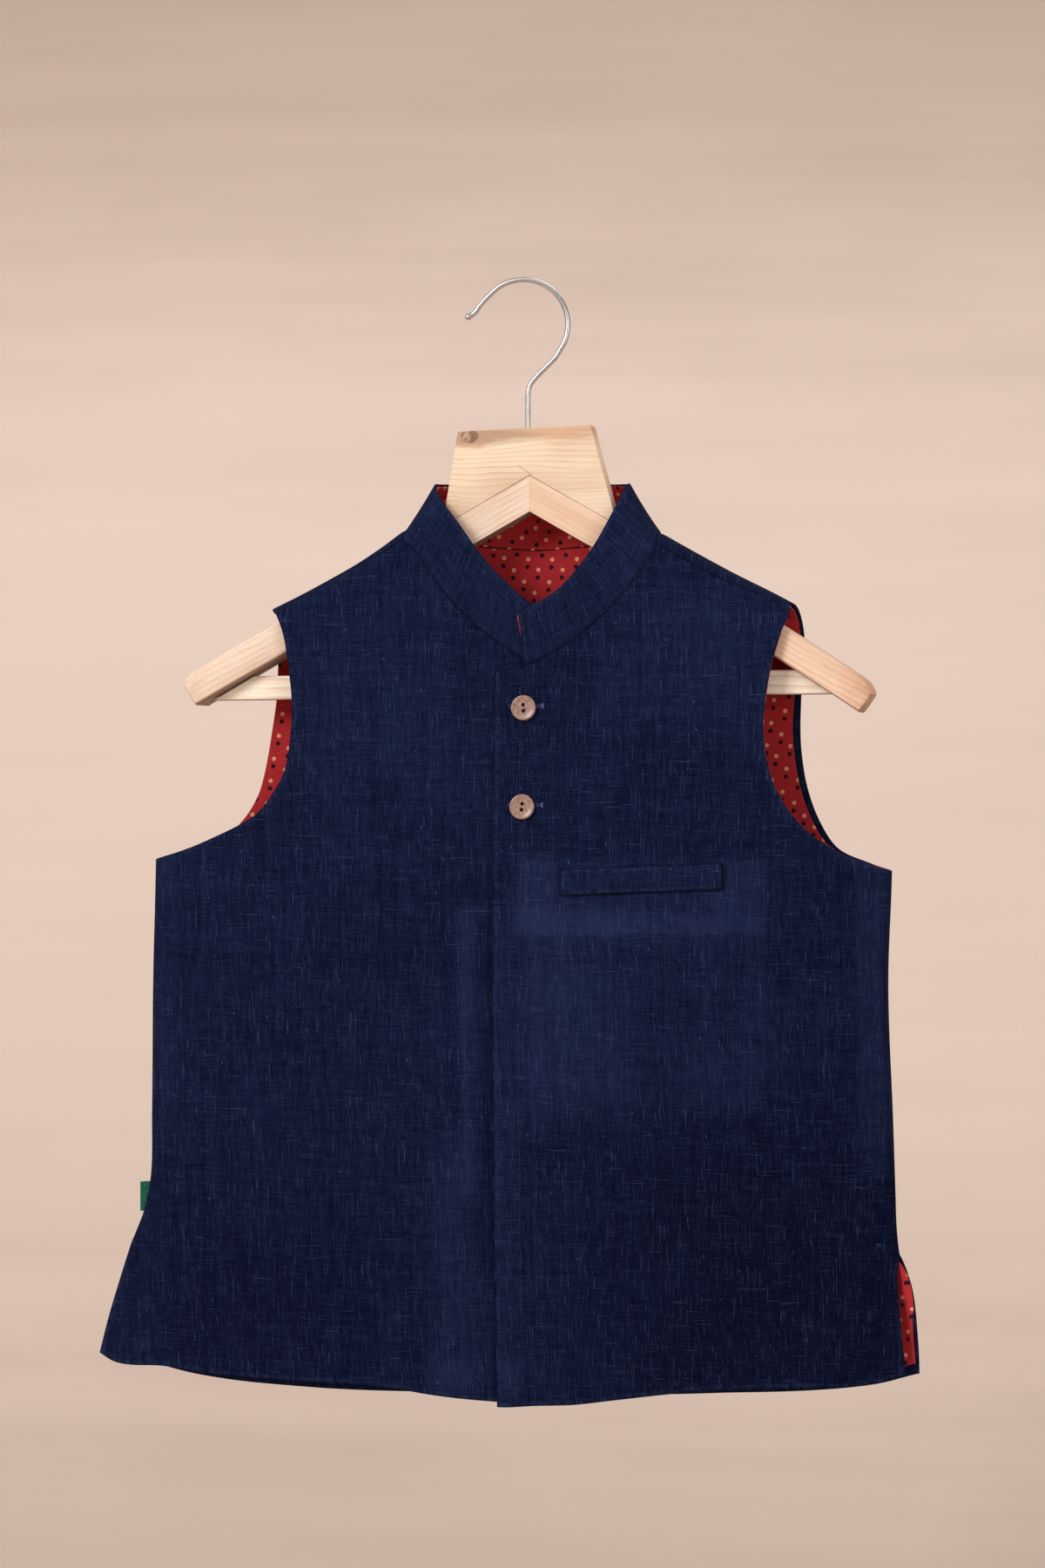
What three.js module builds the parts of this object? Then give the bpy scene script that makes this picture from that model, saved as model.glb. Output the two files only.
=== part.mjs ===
// A child's stand-collar sleeveless jacket, buttoned and hung flat on a wooden hanger.
// Millimetres. X runs to the wearer's left, Y to the back, Z up.
// The origin is under the top of the hook's wire, where the hook is held.
import * as THREE from "three";

// Cloth thicknesses, each measured inwards from the outer face of the shell
const SHELL_THICK = 1.5;
const SEAM_GAP = 0.3;
const LAYER_GAP = 0.5;
const LINING_THICK = 1.0;
const LINING_NEAR = SHELL_THICK + LAYER_GAP;
const CLOTH_THICK = LINING_NEAR + LINING_THICK;
const OVERLAP_DEPTH = CLOTH_THICK + 0.55;

// The closed body, seen from above, is a flat lens: how far each side fold lies from the middle,
// and how far the front and the back stand off the plane of the hanger.
const LENS_POWER = 3;
const SECTIONS = [
  { z: -645, right: 258, left: 231, front: 16, back: 17 },
  { z: -600, right: 249, left: 226.5, front: 18.5, back: 18.5 },
  { z: -577, right: 241, left: 221.5, front: 20, back: 20 },
  { z: -553, right: 232, left: 216.8, front: 21.5, back: 21.5 },
  { z: -538, right: 226, left: 215.2, front: 22.5, back: 22 },
  { z: -518, right: 221.7, left: 214.5, front: 24, back: 23 },
  { z: -480, right: 220.8, left: 213.2, front: 26, back: 24.5 },
  { z: -400, right: 220, left: 210.4, front: 28, back: 26 },
  { z: -337, right: 218.5, left: 212.5, front: 27, back: 25 },
  { z: -260, right: 218, left: 213, front: 23.5, back: 22.5 },
  { z: -200, right: 219, left: 214, front: 21.7, back: 21.5 },
  { z: -110, right: 219, left: 214, front: 21, back: 21.5 },
];
const SLIT_TOP = -553;
const SIDE_LEVELS = [SLIT_TOP, -535, -515, -480, -430, -380];
const UNDERARM_RIGHT = { x: -218.5, z: -332 };
const UNDERARM_LEFT = { x: 212.5, z: -337 };
const CHEST_Z = (UNDERARM_RIGHT.z + UNDERARM_LEFT.z) / 2;

// The top line of the cloth over the hanger's arms
const RIDGE = [
  { x: -150, z: -188 },
  { x: -129, z: -178.2 },
  { x: -113, z: -170 },
  { x: -95, z: -160.2 },
  { x: -80, z: -150.6 },
  { x: -67.2, z: -141.6 },
  { x: 5.6, z: -101 },
  { x: 79.9, z: -144.5 },
  { x: 99.7, z: -155.8 },
  { x: 122, z: -168 },
  { x: 146.7, z: -180.5 },
  { x: 165, z: -190.5 },
];
const BEND_HEIGHT = 20;
const BEND_POWER = 3;
const BEND_STEPS = 40;

// How far below that line, on the front, each shoulder seam lies
const SHOULDER_SEAM = [
  { x: -146, drop: 0.8 },
  { x: -111, drop: 2.4 },
  { x: -93, drop: 3.6 },
  { x: -81, drop: 5 },
  { x: -64, drop: 7.5 },
  { x: 80, drop: 6.8 },
  { x: 115, drop: 6.8 },
  { x: 153, drop: 5 },
];
const NECK_POINT_RIGHT = -66;
const NECK_POINT_LEFT = 80.5;
const SHOULDER_TIP_RIGHT = -146;
const SHOULDER_TIP_LEFT = 153.5;

// The left front lies over the right one, and both edges run straight down
const LEFT_EDGE_X = -11.7;
const RIGHT_EDGE_X = 24;
const CENTRE_X = 6;
const LEFT_EDGE_TOP = -224.5;
const RIGHT_EDGE_TOP = -225.5;
const BACK_NECK_Z = -153.5;
const OVERLAP_FROM = -42;
const OVERLAP_FULL = -15;

// Soft folds of the hung cloth: a ridge is above 0 and a trough below it.
// Each has a middle, a lean in X for 1 of Z, a half width and a half length.
const FOLDS = [
  { face: "front", x: -28, z: -465, lean: 0.01, wide: 8, long: 95, high: 1.7 },
  { face: "front", x: -120, z: -560, lean: -0.12, wide: 24, long: 90, high: 1.6 },
  { face: "front", x: 128, z: -520, lean: 0.1, wide: 26, long: 110, high: 1.5 },
  { face: "front", x: -170, z: -400, lean: 0.16, wide: 20, long: 70, high: -1.2 },
  { face: "front", x: 168, z: -385, lean: -0.18, wide: 20, long: 60, high: -1.2 },
  { face: "back", x: -60, z: -480, lean: 0.05, wide: 22, long: 120, high: 1.8 },
  { face: "back", x: 72, z: -500, lean: -0.06, wide: 24, long: 110, high: 1.7 },
  { face: "back", x: 150, z: -390, lean: -0.2, wide: 20, long: 65, high: -1.2 },
  { face: "back", x: -155, z: -400, lean: 0.18, wide: 20, long: 70, high: -1.2 },
];

// Hem lines, from side to side
const FRONT_HEM = [
  { x: -252, z: -621 },
  { x: -241, z: -625.7 },
  { x: -210, z: -626.5 },
  { x: -177, z: -630 },
  { x: -125, z: -632 },
  { x: -83, z: -633.5 },
  { x: -47, z: -638 },
  { x: -14, z: -641 },
  { x: 29, z: -641.3 },
  { x: 54, z: -638 },
  { x: 104, z: -631.3 },
  { x: 153, z: -628.2 },
  { x: 201, z: -625.8 },
  { x: 222, z: -620 },
];
const BACK_HEM = [
  { x: -249, z: -619 },
  { x: -200, z: -631 },
  { x: -125, z: -638 },
  { x: 0, z: -641 },
  { x: 104, z: -637 },
  { x: 201, z: -628 },
  { x: 227.5, z: -620 },
];

// Edges of the side slits, from the hem to the slit's top
const SLIT_EDGES = {
  frontRight: [[-252, -621], [-246.3, -600], [-239.4, -577], [-232, SLIT_TOP]],
  frontLeft: [[222, -620], [219.8, -600], [217.8, -577], [216.8, SLIT_TOP]],
  backRight: [[-249, -619], [-244, -600], [-238, -577], [-232, SLIT_TOP]],
  backLeft: [[227.5, -620], [225.6, -600], [222.4, -577], [216.8, SLIT_TOP]],
};

// Lower and upper stretch of each armhole's edge. Heights above the arm are given by overRidge.
const ARMHOLES = {
  frontRight: {
    lower: [[-218.5, -332], [-209, -329.5], [-198, -326.3], [-183.8, -321], [-161.5, -311],
      [-150.3, -303.3], [-141, -291], [-134.8, -278], [-131.7, -258]],
    upper: [[-131.7, -258], [-131.2, -238], [-134.3, -213], [-137, -202], [-143, -193.5]],
  },
  frontLeft: {
    lower: [[212.5, -337], [200.5, -332.8], [181.4, -325], [162.3, -310.3], [148.9, -290.7],
      [143.1, -271], [141.6, -254]],
    upper: [[141.6, -254], [143.1, -238], [145.2, -225], [148, -214], [153, -199]],
  },
  backRight: {
    lower: [[-218.5, -332], [-209, -329.2], [-196, -324.5], [-175.2, -313.8], [-163, -298],
      [-157, -280], [-152.5, -255]],
    upper: [[-152.5, -255], [-150, -237], [-149, -213], [-148.4, -199]],
  },
  backLeft: {
    lower: [[212.5, -337], [199, -332.5], [182, -324.5], [170.5, -308], [162, -288],
      [158, -268], [157, -253.5]],
    upper: [[157, -253.5], [157.6, -237], [159, -213], [159.4, -200]],
  },
};

// Necklines, from the front edges up to the neck points and from the centre back outwards
const NECKLINES = {
  frontRight: [[RIGHT_EDGE_X, RIGHT_EDGE_TOP], [10, -220.6], [-9, -208.1], [-27.7, -193.4],
    [-44.3, -174.8], [-57.5, -155.3]],
  frontLeft: [[LEFT_EDGE_X, LEFT_EDGE_TOP], [8.3, -219.8], [21.5, -213.1], [43.4, -198.4],
    [64, -177.1], [77.2, -159.6]],
  backRight: [[CENTRE_X, BACK_NECK_Z], [-25, -151.2], [-48, -146.5], [-60, -141]],
  backLeft: [[CENTRE_X, BACK_NECK_Z], [33, -151.6], [58, -148], [72, -145.5]],
};

// Places of the columns of each side's sheets, from the middle of the body to the side
const RIGHT_COLUMNS = [0, 0.1, 0.16, 0.195, 0.23, 0.28, 0.44, 0.62, 0.78, 0.9, 0.965, 0.99, 1];
const LEFT_COLUMNS = [0, 0.08, 0.2, 0.34, 0.48, 0.62, 0.75, 0.86, 0.94, 0.985, 1];
const ROWS = { slit: 3, side: SIDE_LEVELS.length, chest: 6, shoulder: 7 };

// The stand collar's top edge, from its left end round the back of the neck to its right end
const COLLAR_TOP = [
  { x: 2.3, y: -26.4, z: -191.1 },
  { x: 11.5, y: -26.2, z: -186.2 },
  { x: 23, y: -25.4, z: -179.3 },
  { x: 33.4, y: -23.6, z: -168.9 },
  { x: 44.5, y: -20, z: -153.3 },
  { x: 55.2, y: -14, z: -132.4 },
  { x: 60.6, y: -1, z: -117.6 },
  { x: 60, y: 12, z: -115.6 },
  { x: 48, y: 20.5, z: -115.2 },
  { x: 4, y: 22.5, z: -114.6 },
  { x: -39, y: 20.5, z: -114 },
  { x: -50, y: 12, z: -114.2 },
  { x: -51.4, y: -1, z: -115.8 },
  { x: -44.5, y: -13.5, z: -125.6 },
  { x: -34.3, y: -18.5, z: -138.1 },
  { x: -22.2, y: -20.8, z: -154.7 },
  { x: -10.7, y: -21.6, z: -167.9 },
  { x: 1, y: -21.8, z: -179 },
  { x: 12, y: -21.8, z: -187.5 },
];
const COLLAR_SEAM_GAP = 0.45;
const COLLAR_LINING_DROP = 0.9;

// Welt of the chest pocket: its four corners on the left front
const WELT_INNER_X = 27;
const WELT_OUTER_X = 119.4;
const WELT_INNER_TOP = -336;
const WELT_OUTER_TOP = -332.2;
const WELT_HEIGHT = 15.3;
const WELT_THICK = 1.4;
const WELT_STEPS = 8;

const BUTTON_RADIUS = 7.5;
const BUTTON_THICK = 2.4;
const BUTTON_EDGE = 0.5;
const BUTTON_HOLE_RADIUS = 0.85;
const BUTTON_HOLE_PITCH = 3.4;
const BUTTON_HEIGHTS = { button_upper: -245.4, button_lower: -301.6 };

const TAB_HEIGHT = 17.5;
const TAB_REACH = 4.8;
const TAB_THICK = 1.2;
const TAB_TOP = -520.2;
const TAB_SEAT = 0.3;

// The hanger
const WIRE_RADIUS = 1.5;
const HOOK_ARC_RADIUS = 26.5;
const HOOK_ARC_CENTRE = { x: 0, z: WIRE_RADIUS - HOOK_ARC_RADIUS };
const SHANK_X = 3.2;
const HEAD_THICK = 16;
const HEAD_TOP_Z = -84.4;
const APEX = { x: 5.6, z: -111.5 };
const ARM_HEIGHT = 18;
const ARM_RIGHT = { name: "hanger_arm_right", slope: 0.562, end: -196.5, side: -1 };
const ARM_LEFT = { name: "hanger_arm_left", slope: 0.575, end: 200, side: 1 };
const ARM_DEPTH_APEX = 15;
const ARM_DEPTH_END = 31;
const ARM_EDGE = 3.5;
const WOOD_GAP = 0.3;
const CROSSBAR_TOP = -224.4;
const CROSSBAR_HEIGHT = 14.2;
const CROSSBAR_DEPTH = 11;
const CROSSBAR_EDGE = 1.2;

const FINISHES = {
  indigo: new THREE.MeshStandardMaterial({ color: 0x1b2748, roughness: 0.95, metalness: 0 }),
  lining: new THREE.MeshStandardMaterial({ color: 0x9c2328, roughness: 0.9, metalness: 0 }),
  wood: new THREE.MeshStandardMaterial({ color: 0xe6cda8, roughness: 0.7, metalness: 0 }),
  steel: new THREE.MeshStandardMaterial({ color: 0xb9b6b2, roughness: 0.35, metalness: 1 }),
  coconut: new THREE.MeshStandardMaterial({ color: 0x96705e, roughness: 0.5, metalness: 0 }),
  green: new THREE.MeshStandardMaterial({ color: 0x146e55, roughness: 0.85, metalness: 0 }),
};

// A smooth function through a table's rows: key is its input column, names its outputs.
function smoothTable(rows, key, names) {
  const sorted = [...rows].sort((a, b) => a[key] - b[key]);
  const inputs = sorted.map((row) => row[key]);
  const outputs = sorted.flatMap((row) => names.map((name) => row[name]));
  const interpolant = new THREE.CubicInterpolant(inputs, outputs, names.length);
  return (at) => {
    const values = interpolant.evaluate(at);
    return Object.fromEntries(names.map((name, i) => [name, values[i]]));
  };
}

const sectionAt = smoothTable(SECTIONS, "z", ["right", "left", "front", "back"]);
const ridgeTable = smoothTable(RIDGE, "x", ["z"]);
const seamTable = smoothTable(SHOULDER_SEAM, "x", ["drop"]);
const hemTables = {
  front: smoothTable(FRONT_HEM, "x", ["z"]),
  back: smoothTable(BACK_HEM, "x", ["z"]),
};
const ridgeAt = (x) => ridgeTable(x).z;

// The cloth bends over the arm along a quarter of a squarish round, from upright to level
const bend = new THREE.SplineCurve(
  Array.from({ length: BEND_STEPS + 1 }, (_, i) => {
    const turn = (i / BEND_STEPS) * (Math.PI / 2);
    const out = Math.cos(turn) ** (2 / BEND_POWER);
    return new THREE.Vector2(i === BEND_STEPS ? 0 : out, Math.sin(turn) ** (2 / BEND_POWER));
  }),
);
const bendLength = bend.getLength();

// The height on the flat pattern of a front point at z: past the bend's foot it follows the cloth.
function upAt(x, z) {
  const foot = ridgeAt(x) - BEND_HEIGHT;
  if (z <= foot) return z;
  const rise = Math.min(1, (z - foot) / BEND_HEIGHT);
  let low = 0;
  let high = 1;
  for (let i = 0; i < 30; i++) {
    const middle = (low + high) / 2;
    if (bend.getPointAt(middle).y < rise) low = middle;
    else high = middle;
  }
  return foot + low * bendLength * BEND_HEIGHT;
}

const topUp = (x) => ridgeAt(x) - BEND_HEIGHT + bendLength * BEND_HEIGHT;
const frontSeamUp = (x) => upAt(x, ridgeAt(x) - seamTable(x).drop);
const backSeamUp = (x) => 2 * topUp(x) - frontSeamUp(x);

function foldHeight(face, x, z) {
  return FOLDS.filter((fold) => fold.face === face).reduce((sum, fold) => {
    const across = (x - fold.x - fold.lean * (z - fold.z)) / fold.wide;
    const along = (z - fold.z) / fold.long;
    return sum + fold.high * Math.exp(-across * across - along ** 4);
  }, 0);
}

// The right front passes behind the left one: how far back it lies there.
function tuckedBack(x) {
  return OVERLAP_DEPTH * THREE.MathUtils.smoothstep(x, OVERLAP_FROM, OVERLAP_FULL);
}

// A point of the shell's outer face from its place on the flat pattern.
function onCloth(panel, x, up) {
  const foot = ridgeAt(x) - BEND_HEIGHT;
  const level = Math.min(up, foot);
  const body = sectionAt(level);
  const half = x < 0 ? body.right : body.left;
  const lens = Math.sqrt(Math.max(0, 1 - (Math.abs(x) / half) ** LENS_POWER));
  const tuck = panel.under ? tuckedBack(x) : 0;
  const front = -(body.front * lens + foldHeight("front", x, level) * lens - tuck);
  const back = body.back * lens + foldHeight("back", x, level) * lens;
  if (up <= foot) return new THREE.Vector3(x, panel.face === "front" ? front : back, up);
  const travelled = (up - foot) / BEND_HEIGHT;
  const overTop = travelled > bendLength;
  const share = (overTop ? 2 * bendLength - travelled : travelled) / bendLength;
  const point = bend.getPointAt(THREE.MathUtils.clamp(share, 0, 1));
  const depth = (panel.face === "front") !== overTop ? front : back;
  return new THREE.Vector3(x, depth * point.x, foot + BEND_HEIGHT * point.y);
}

const spline = (points) => new THREE.SplineCurve(points.map(([x, up]) => new THREE.Vector2(x, up)));
const onPattern = (points) => points.map(([x, z]) => [x, upAt(x, z)]);

// Past the top of the arm the pattern goes on, so a back edge there gets its mirrored height.
const overRidge = (x, share) => [x, topUp(x) + share * (backSeamUp(x) - topUp(x))];

// The stretches of each panel from the hem to the shoulder: rows between two edges of its pattern.
function stretchesOf(key, centreX, centreTop) {
  const isFront = key.startsWith("front");
  const isRight = key.endsWith("Right");
  const underarm = isRight ? UNDERARM_RIGHT : UNDERARM_LEFT;
  const neckPoint = isRight ? NECK_POINT_RIGHT : NECK_POINT_LEFT;
  const tip = isRight ? SHOULDER_TIP_RIGHT : SHOULDER_TIP_LEFT;
  const levels = [...SIDE_LEVELS, underarm.z];
  const side = levels.map((z) => [isRight ? -sectionAt(z).right : sectionAt(z).left, z]);
  const neckEnd = isFront
    ? [[neckPoint, frontSeamUp(neckPoint)]]
    : [[neckPoint, topUp(neckPoint)], overRidge(neckPoint, 1)];
  const armEnd = isFront
    ? [[tip, frontSeamUp(tip)]]
    : [[tip, topUp(tip)], overRidge(tip, 1)];
  const hemZ = hemTables[isFront ? "front" : "back"](centreX).z;
  const inner = (heights) => spline(heights.map((z) => [centreX, z]));
  return [
    { zone: "slit", rows: ROWS.slit, inner: inner([hemZ, SLIT_TOP]), outer: spline(SLIT_EDGES[key]) },
    { zone: "side", rows: ROWS.side, inner: inner([...SIDE_LEVELS, CHEST_Z]), outer: spline(side) },
    {
      zone: "chest",
      rows: ROWS.chest,
      inner: inner([CHEST_Z, centreTop]),
      outer: spline(onPattern(ARMHOLES[key].lower)),
    },
    {
      zone: "shoulder",
      rows: ROWS.shoulder,
      inner: spline([...onPattern(NECKLINES[key]), ...neckEnd]),
      outer: spline([...onPattern(ARMHOLES[key].upper), ...armEnd]),
    },
  ];
}

const PANELS = {
  frontRight: { face: "front", under: true, columns: RIGHT_COLUMNS, flip: true },
  frontLeft: { face: "front", under: false, columns: LEFT_COLUMNS, flip: false },
  backRight: { face: "back", under: false, columns: RIGHT_COLUMNS, flip: false },
  backLeft: { face: "back", under: false, columns: LEFT_COLUMNS, flip: true },
};
const EDGE_TOPS = {
  frontRight: [RIGHT_EDGE_X, RIGHT_EDGE_TOP],
  frontLeft: [LEFT_EDGE_X, LEFT_EDGE_TOP],
  backRight: [CENTRE_X, BACK_NECK_Z],
  backLeft: [CENTRE_X, BACK_NECK_Z],
};

// How much of the front and the armhole insets holds along each stretch: none at a sewn seam
const INSET_SHARES = {
  slit: () => [1, 0],
  side: () => [1, 0],
  chest: (share) => [1, Math.min(1, share * 3)],
  shoulder: (share) => [1 - share, 1 - share],
};

// A panel's points as rows of cells. An inset draws its free edges in, as on a lining.
function panelCells(key, inset = { hem: 0, slit: 0, armhole: 0, front: 0 }) {
  const panel = PANELS[key];
  const [centreX, centreTop] = EDGE_TOPS[key];
  const hemAt = (x) => hemTables[panel.face](x).z;
  const seamAt = panel.face === "front" ? frontSeamUp : backSeamUp;
  const rows = [];
  stretchesOf(key, centreX, centreTop).forEach((stretch, order) => {
    for (let i = order === 0 ? 0 : 1; i <= stretch.rows; i++) {
      const share = i / stretch.rows;
      const from = stretch.inner.getPoint(share);
      const to = stretch.outer.getPoint(share);
      const across = to.clone().sub(from).normalize();
      const atSlit = stretch.zone === "slit" && i < stretch.rows;
      const [start, finish] = INSET_SHARES[stretch.zone](share);
      from.addScaledVector(across, start * inset.front);
      to.addScaledVector(across, -(atSlit ? inset.slit : finish * inset.armhole));
      const hemShare = stretch.zone === "slit" ? 1 - share : 0;
      const seamShare = stretch.zone === "shoulder" ? share ** 2 : 0;
      const cells = panel.columns.map((column) => {
        const place = from.clone().lerp(to, column);
        const bow = (line) => line(place.x) - THREE.MathUtils.lerp(line(from.x), line(to.x), column);
        const hem = hemShare * (bow(hemAt) + inset.hem);
        const up = place.y + hem + (seamShare ? seamShare * bow(seamAt) : 0);
        return { point: onCloth(panel, place.x, up) };
      });
      rows.push({ cells, seam: stretch.zone === "side" || (stretch.zone === "slit" && !atSlit) });
    }
  });
  return { key, rows, flip: panel.flip };
}

const keyOf = (point) => point.toArray().map((v) => Math.round(v * 50)).join();

// Gives each cell the mean normal of the faces that meet there, across seams too.
function shareNormals(sheets) {
  const sums = new Map();
  const eachFace = (sheet, visit) => {
    for (let r = 0; r + 1 < sheet.rows.length; r++) {
      for (let c = 0; c + 1 < sheet.rows[r].cells.length; c++) {
        const [low, high] = [sheet.rows[r].cells, sheet.rows[r + 1].cells];
        const corners = [low[c], low[c + 1], high[c + 1], high[c]];
        visit(sheet.flip ? corners.reverse() : corners);
      }
    }
  };
  for (const sheet of sheets) {
    sheet.faces = [];
    eachFace(sheet, (corners) => {
      sheet.faces.push(corners);
      const [a, b, c, d] = corners.map((cell) => cell.point);
      const normal = c.clone().sub(a).cross(d.clone().sub(b)).normalize();
      for (const cell of corners) {
        const key = keyOf(cell.point);
        if (!sums.has(key)) sums.set(key, new THREE.Vector3());
        sums.get(key).add(normal);
      }
    });
  }
  for (const sheet of sheets) {
    for (const row of sheet.rows) {
      for (const cell of row.cells) cell.normal = sums.get(keyOf(cell.point)).clone().normalize();
    }
  }
}

// Draws a panel's sewn edges back by half a seam gap, so that neighbours don't touch.
function openSeams(sheet) {
  const draw = (cell, towards) => {
    const step = towards.point.clone().sub(cell.point).normalize();
    cell.point.addScaledVector(step, SEAM_GAP / 2);
  };
  for (const row of sheet.rows) {
    if (row.seam) draw(row.cells.at(-1), row.cells.at(-2));
  }
  const [below, top] = sheet.rows.slice(-2);
  top.cells.forEach((cell, c) => draw(cell, below.cells[c]));
}

// A closed wall between two distances from a sheet: 0 is its outer face, below 0 is inwards.
function wallOf(faces, near, far) {
  const index = new Map();
  const cells = [];
  const numberOf = (cell) => {
    const key = keyOf(cell.point);
    if (!index.has(key)) {
      index.set(key, cells.length);
      cells.push(cell);
    }
    return index.get(key);
  };
  const quads = faces.map((corners) => corners.map(numberOf));
  const count = cells.length;
  const triangles = [];
  const edges = new Set();
  for (const quad of quads) {
    const [a, b, c, d] = quad;
    triangles.push([a, b, c], [a, c, d]);
    triangles.push([a, c, b].map((v) => v + count), [a, d, c].map((v) => v + count));
    quad.forEach((v, i) => edges.add(`${v},${quad[(i + 1) % 4]}`));
  }
  for (const edge of edges) {
    const [a, b] = edge.split(",").map(Number);
    if (!edges.has(`${b},${a}`)) triangles.push([b, a, a + count], [b, a + count, b + count]);
  }
  const positions = [far, near].flatMap((distance) =>
    cells.flatMap((cell) => cell.point.clone().addScaledVector(cell.normal, distance).toArray()),
  );
  return geometryOf(positions, triangles.flat());
}

function geometryOf(positions, indices) {
  const geometry = new THREE.BufferGeometry();
  geometry.setAttribute("position", new THREE.Float32BufferAttribute(positions, 3));
  geometry.setIndex(indices);
  geometry.computeVertexNormals();
  return geometry;
}

// A closed body through rings of equally many points, with a flat face at each end.
function loft(rings) {
  const sides = rings[0].length;
  const triangles = [];
  for (let r = 0; r + 1 < rings.length; r++) {
    for (let s = 0; s < sides; s++) {
      const [a, b] = [r * sides + s, r * sides + ((s + 1) % sides)];
      triangles.push([a, b, b + sides], [a, b + sides, a + sides]);
    }
  }
  const last = (rings.length - 1) * sides;
  for (let s = 1; s + 1 < sides; s++) {
    triangles.push([0, s + 1, s], [last, last + s, last + s + 1]);
  }
  return geometryOf(rings.flat().flatMap((point) => point.toArray()), triangles.flat());
}

function mesh(name, geometry, finish) {
  const made = new THREE.Mesh(geometry, finish);
  made.name = name;
  return made;
}

// Shell panels of slubby indigo cotton, and the linings drawn in a little from their free edges
function garmentPanels() {
  const group = new THREE.Group();
  const layers = [
    {
      names: ["front_right_panel", "front_left_panel", "back_panel"],
      finish: FINISHES.indigo,
      near: -SHELL_THICK,
      far: 0,
      insets: {},
    },
    {
      names: ["lining_front_right", "lining_front_left", "lining_back"],
      finish: FINISHES.lining,
      near: -CLOTH_THICK,
      far: -LINING_NEAR,
      insets: {
        frontRight: { hem: 6, slit: 2.5, armhole: 0.5, front: 1 },
        frontLeft: { hem: 6, slit: 2.5, armhole: 0.5, front: 1 },
        backRight: { hem: 6, slit: 2.5, armhole: 0.5, front: 0 },
        backLeft: { hem: 6, slit: 2.5, armhole: 4.8, front: 0 },
      },
    },
  ];
  for (const layer of layers) {
    const sheets = Object.keys(PANELS).map((key) => panelCells(key, layer.insets[key]));
    shareNormals(sheets);
    sheets.forEach(openSeams);
    const [frontRight, frontLeft, backRight, backLeft] = sheets.map((sheet) => sheet.faces);
    const pieces = [frontRight, frontLeft, [...backRight, ...backLeft]];
    pieces.forEach((faces, i) => {
      group.add(mesh(layer.names[i], wallOf(faces, layer.near, layer.far), layer.finish));
    });
  }
  return group;
}

// The collar's base follows the cloth's own neck edge from the left front's end to the right's.
function neckRing() {
  const edge = (key) => {
    const rows = panelCells(key).rows;
    return rows.slice(-ROWS.shoulder - 1).map((row) => row.cells[0].point);
  };
  const left = edge("frontLeft").slice(1);
  const right = edge("frontRight").slice(1);
  const back = [...edge("backLeft").reverse(), ...edge("backRight").slice(1)];
  return [...left, ...back.slice(1, -1), ...right.reverse()];
}

function collarSheet() {
  const ring = neckRing();
  const base = new THREE.CatmullRomCurve3(ring, false, "centripetal");
  const top = new THREE.CatmullRomCurve3(
    COLLAR_TOP.map(({ x, y, z }) => new THREE.Vector3(x, y, z)),
    false,
    "centripetal",
  );
  const count = ring.length + 4;
  const low = base.getSpacedPoints(count);
  const high = top.getSpacedPoints(count);
  const shares = [0, 0.5, 1];
  const rows = shares.map((share) => ({
    cells: low.map((point, i) => {
      const rise = high[i].clone().sub(point);
      const lift = COLLAR_SEAM_GAP / rise.length();
      return { point: point.clone().addScaledVector(rise, lift + share * (1 - lift)) };
    }),
  }));
  return { rows, flip: false };
}

function collar() {
  const group = new THREE.Group();
  const outer = collarSheet();
  shareNormals([outer]);
  group.add(mesh("collar_outer", wallOf(outer.faces, -SHELL_THICK, 0), FINISHES.indigo));
  const inner = collarSheet();
  shareNormals([inner]);
  const [, middle, top] = inner.rows;
  top.cells.forEach((cell, i) => {
    const down = middle.cells[i].point.clone().sub(cell.point).normalize();
    cell.point.addScaledVector(down, COLLAR_LINING_DROP);
  });
  group.add(mesh("collar_lining", wallOf(inner.faces, -CLOTH_THICK, -LINING_NEAR), FINISHES.lining));
  return group;
}

// The welt lies on the left front, so its points are that panel's, moved out.
function pocketWelt() {
  const rows = [-WELT_HEIGHT, 0].map((drop) => ({
    cells: Array.from({ length: WELT_STEPS + 1 }, (_, i) => {
      const share = i / WELT_STEPS;
      const x = THREE.MathUtils.lerp(WELT_INNER_X, WELT_OUTER_X, share);
      const z = THREE.MathUtils.lerp(WELT_INNER_TOP, WELT_OUTER_TOP, share) + drop;
      return { point: onCloth(PANELS.frontLeft, x, z) };
    }),
  }));
  const sheet = { rows, flip: false };
  shareNormals([sheet]);
  return mesh("pocket_welt", wallOf(sheet.faces, SEAM_GAP, SEAM_GAP + WELT_THICK), FINISHES.indigo);
}

function buttonGeometry() {
  const disc = new THREE.Shape().absarc(0, 0, BUTTON_RADIUS - BUTTON_EDGE, 0, 2 * Math.PI);
  for (const side of [-1, 1]) {
    const radius = BUTTON_HOLE_RADIUS + BUTTON_EDGE;
    disc.holes.push(new THREE.Path().absarc(0, (side * BUTTON_HOLE_PITCH) / 2, radius, 0, 2 * Math.PI));
  }
  return new THREE.ExtrudeGeometry(disc, {
    depth: BUTTON_THICK - 2 * BUTTON_EDGE,
    bevelThickness: BUTTON_EDGE,
    bevelSize: BUTTON_EDGE,
    bevelSegments: 1,
    curveSegments: 12,
  });
}

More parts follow.
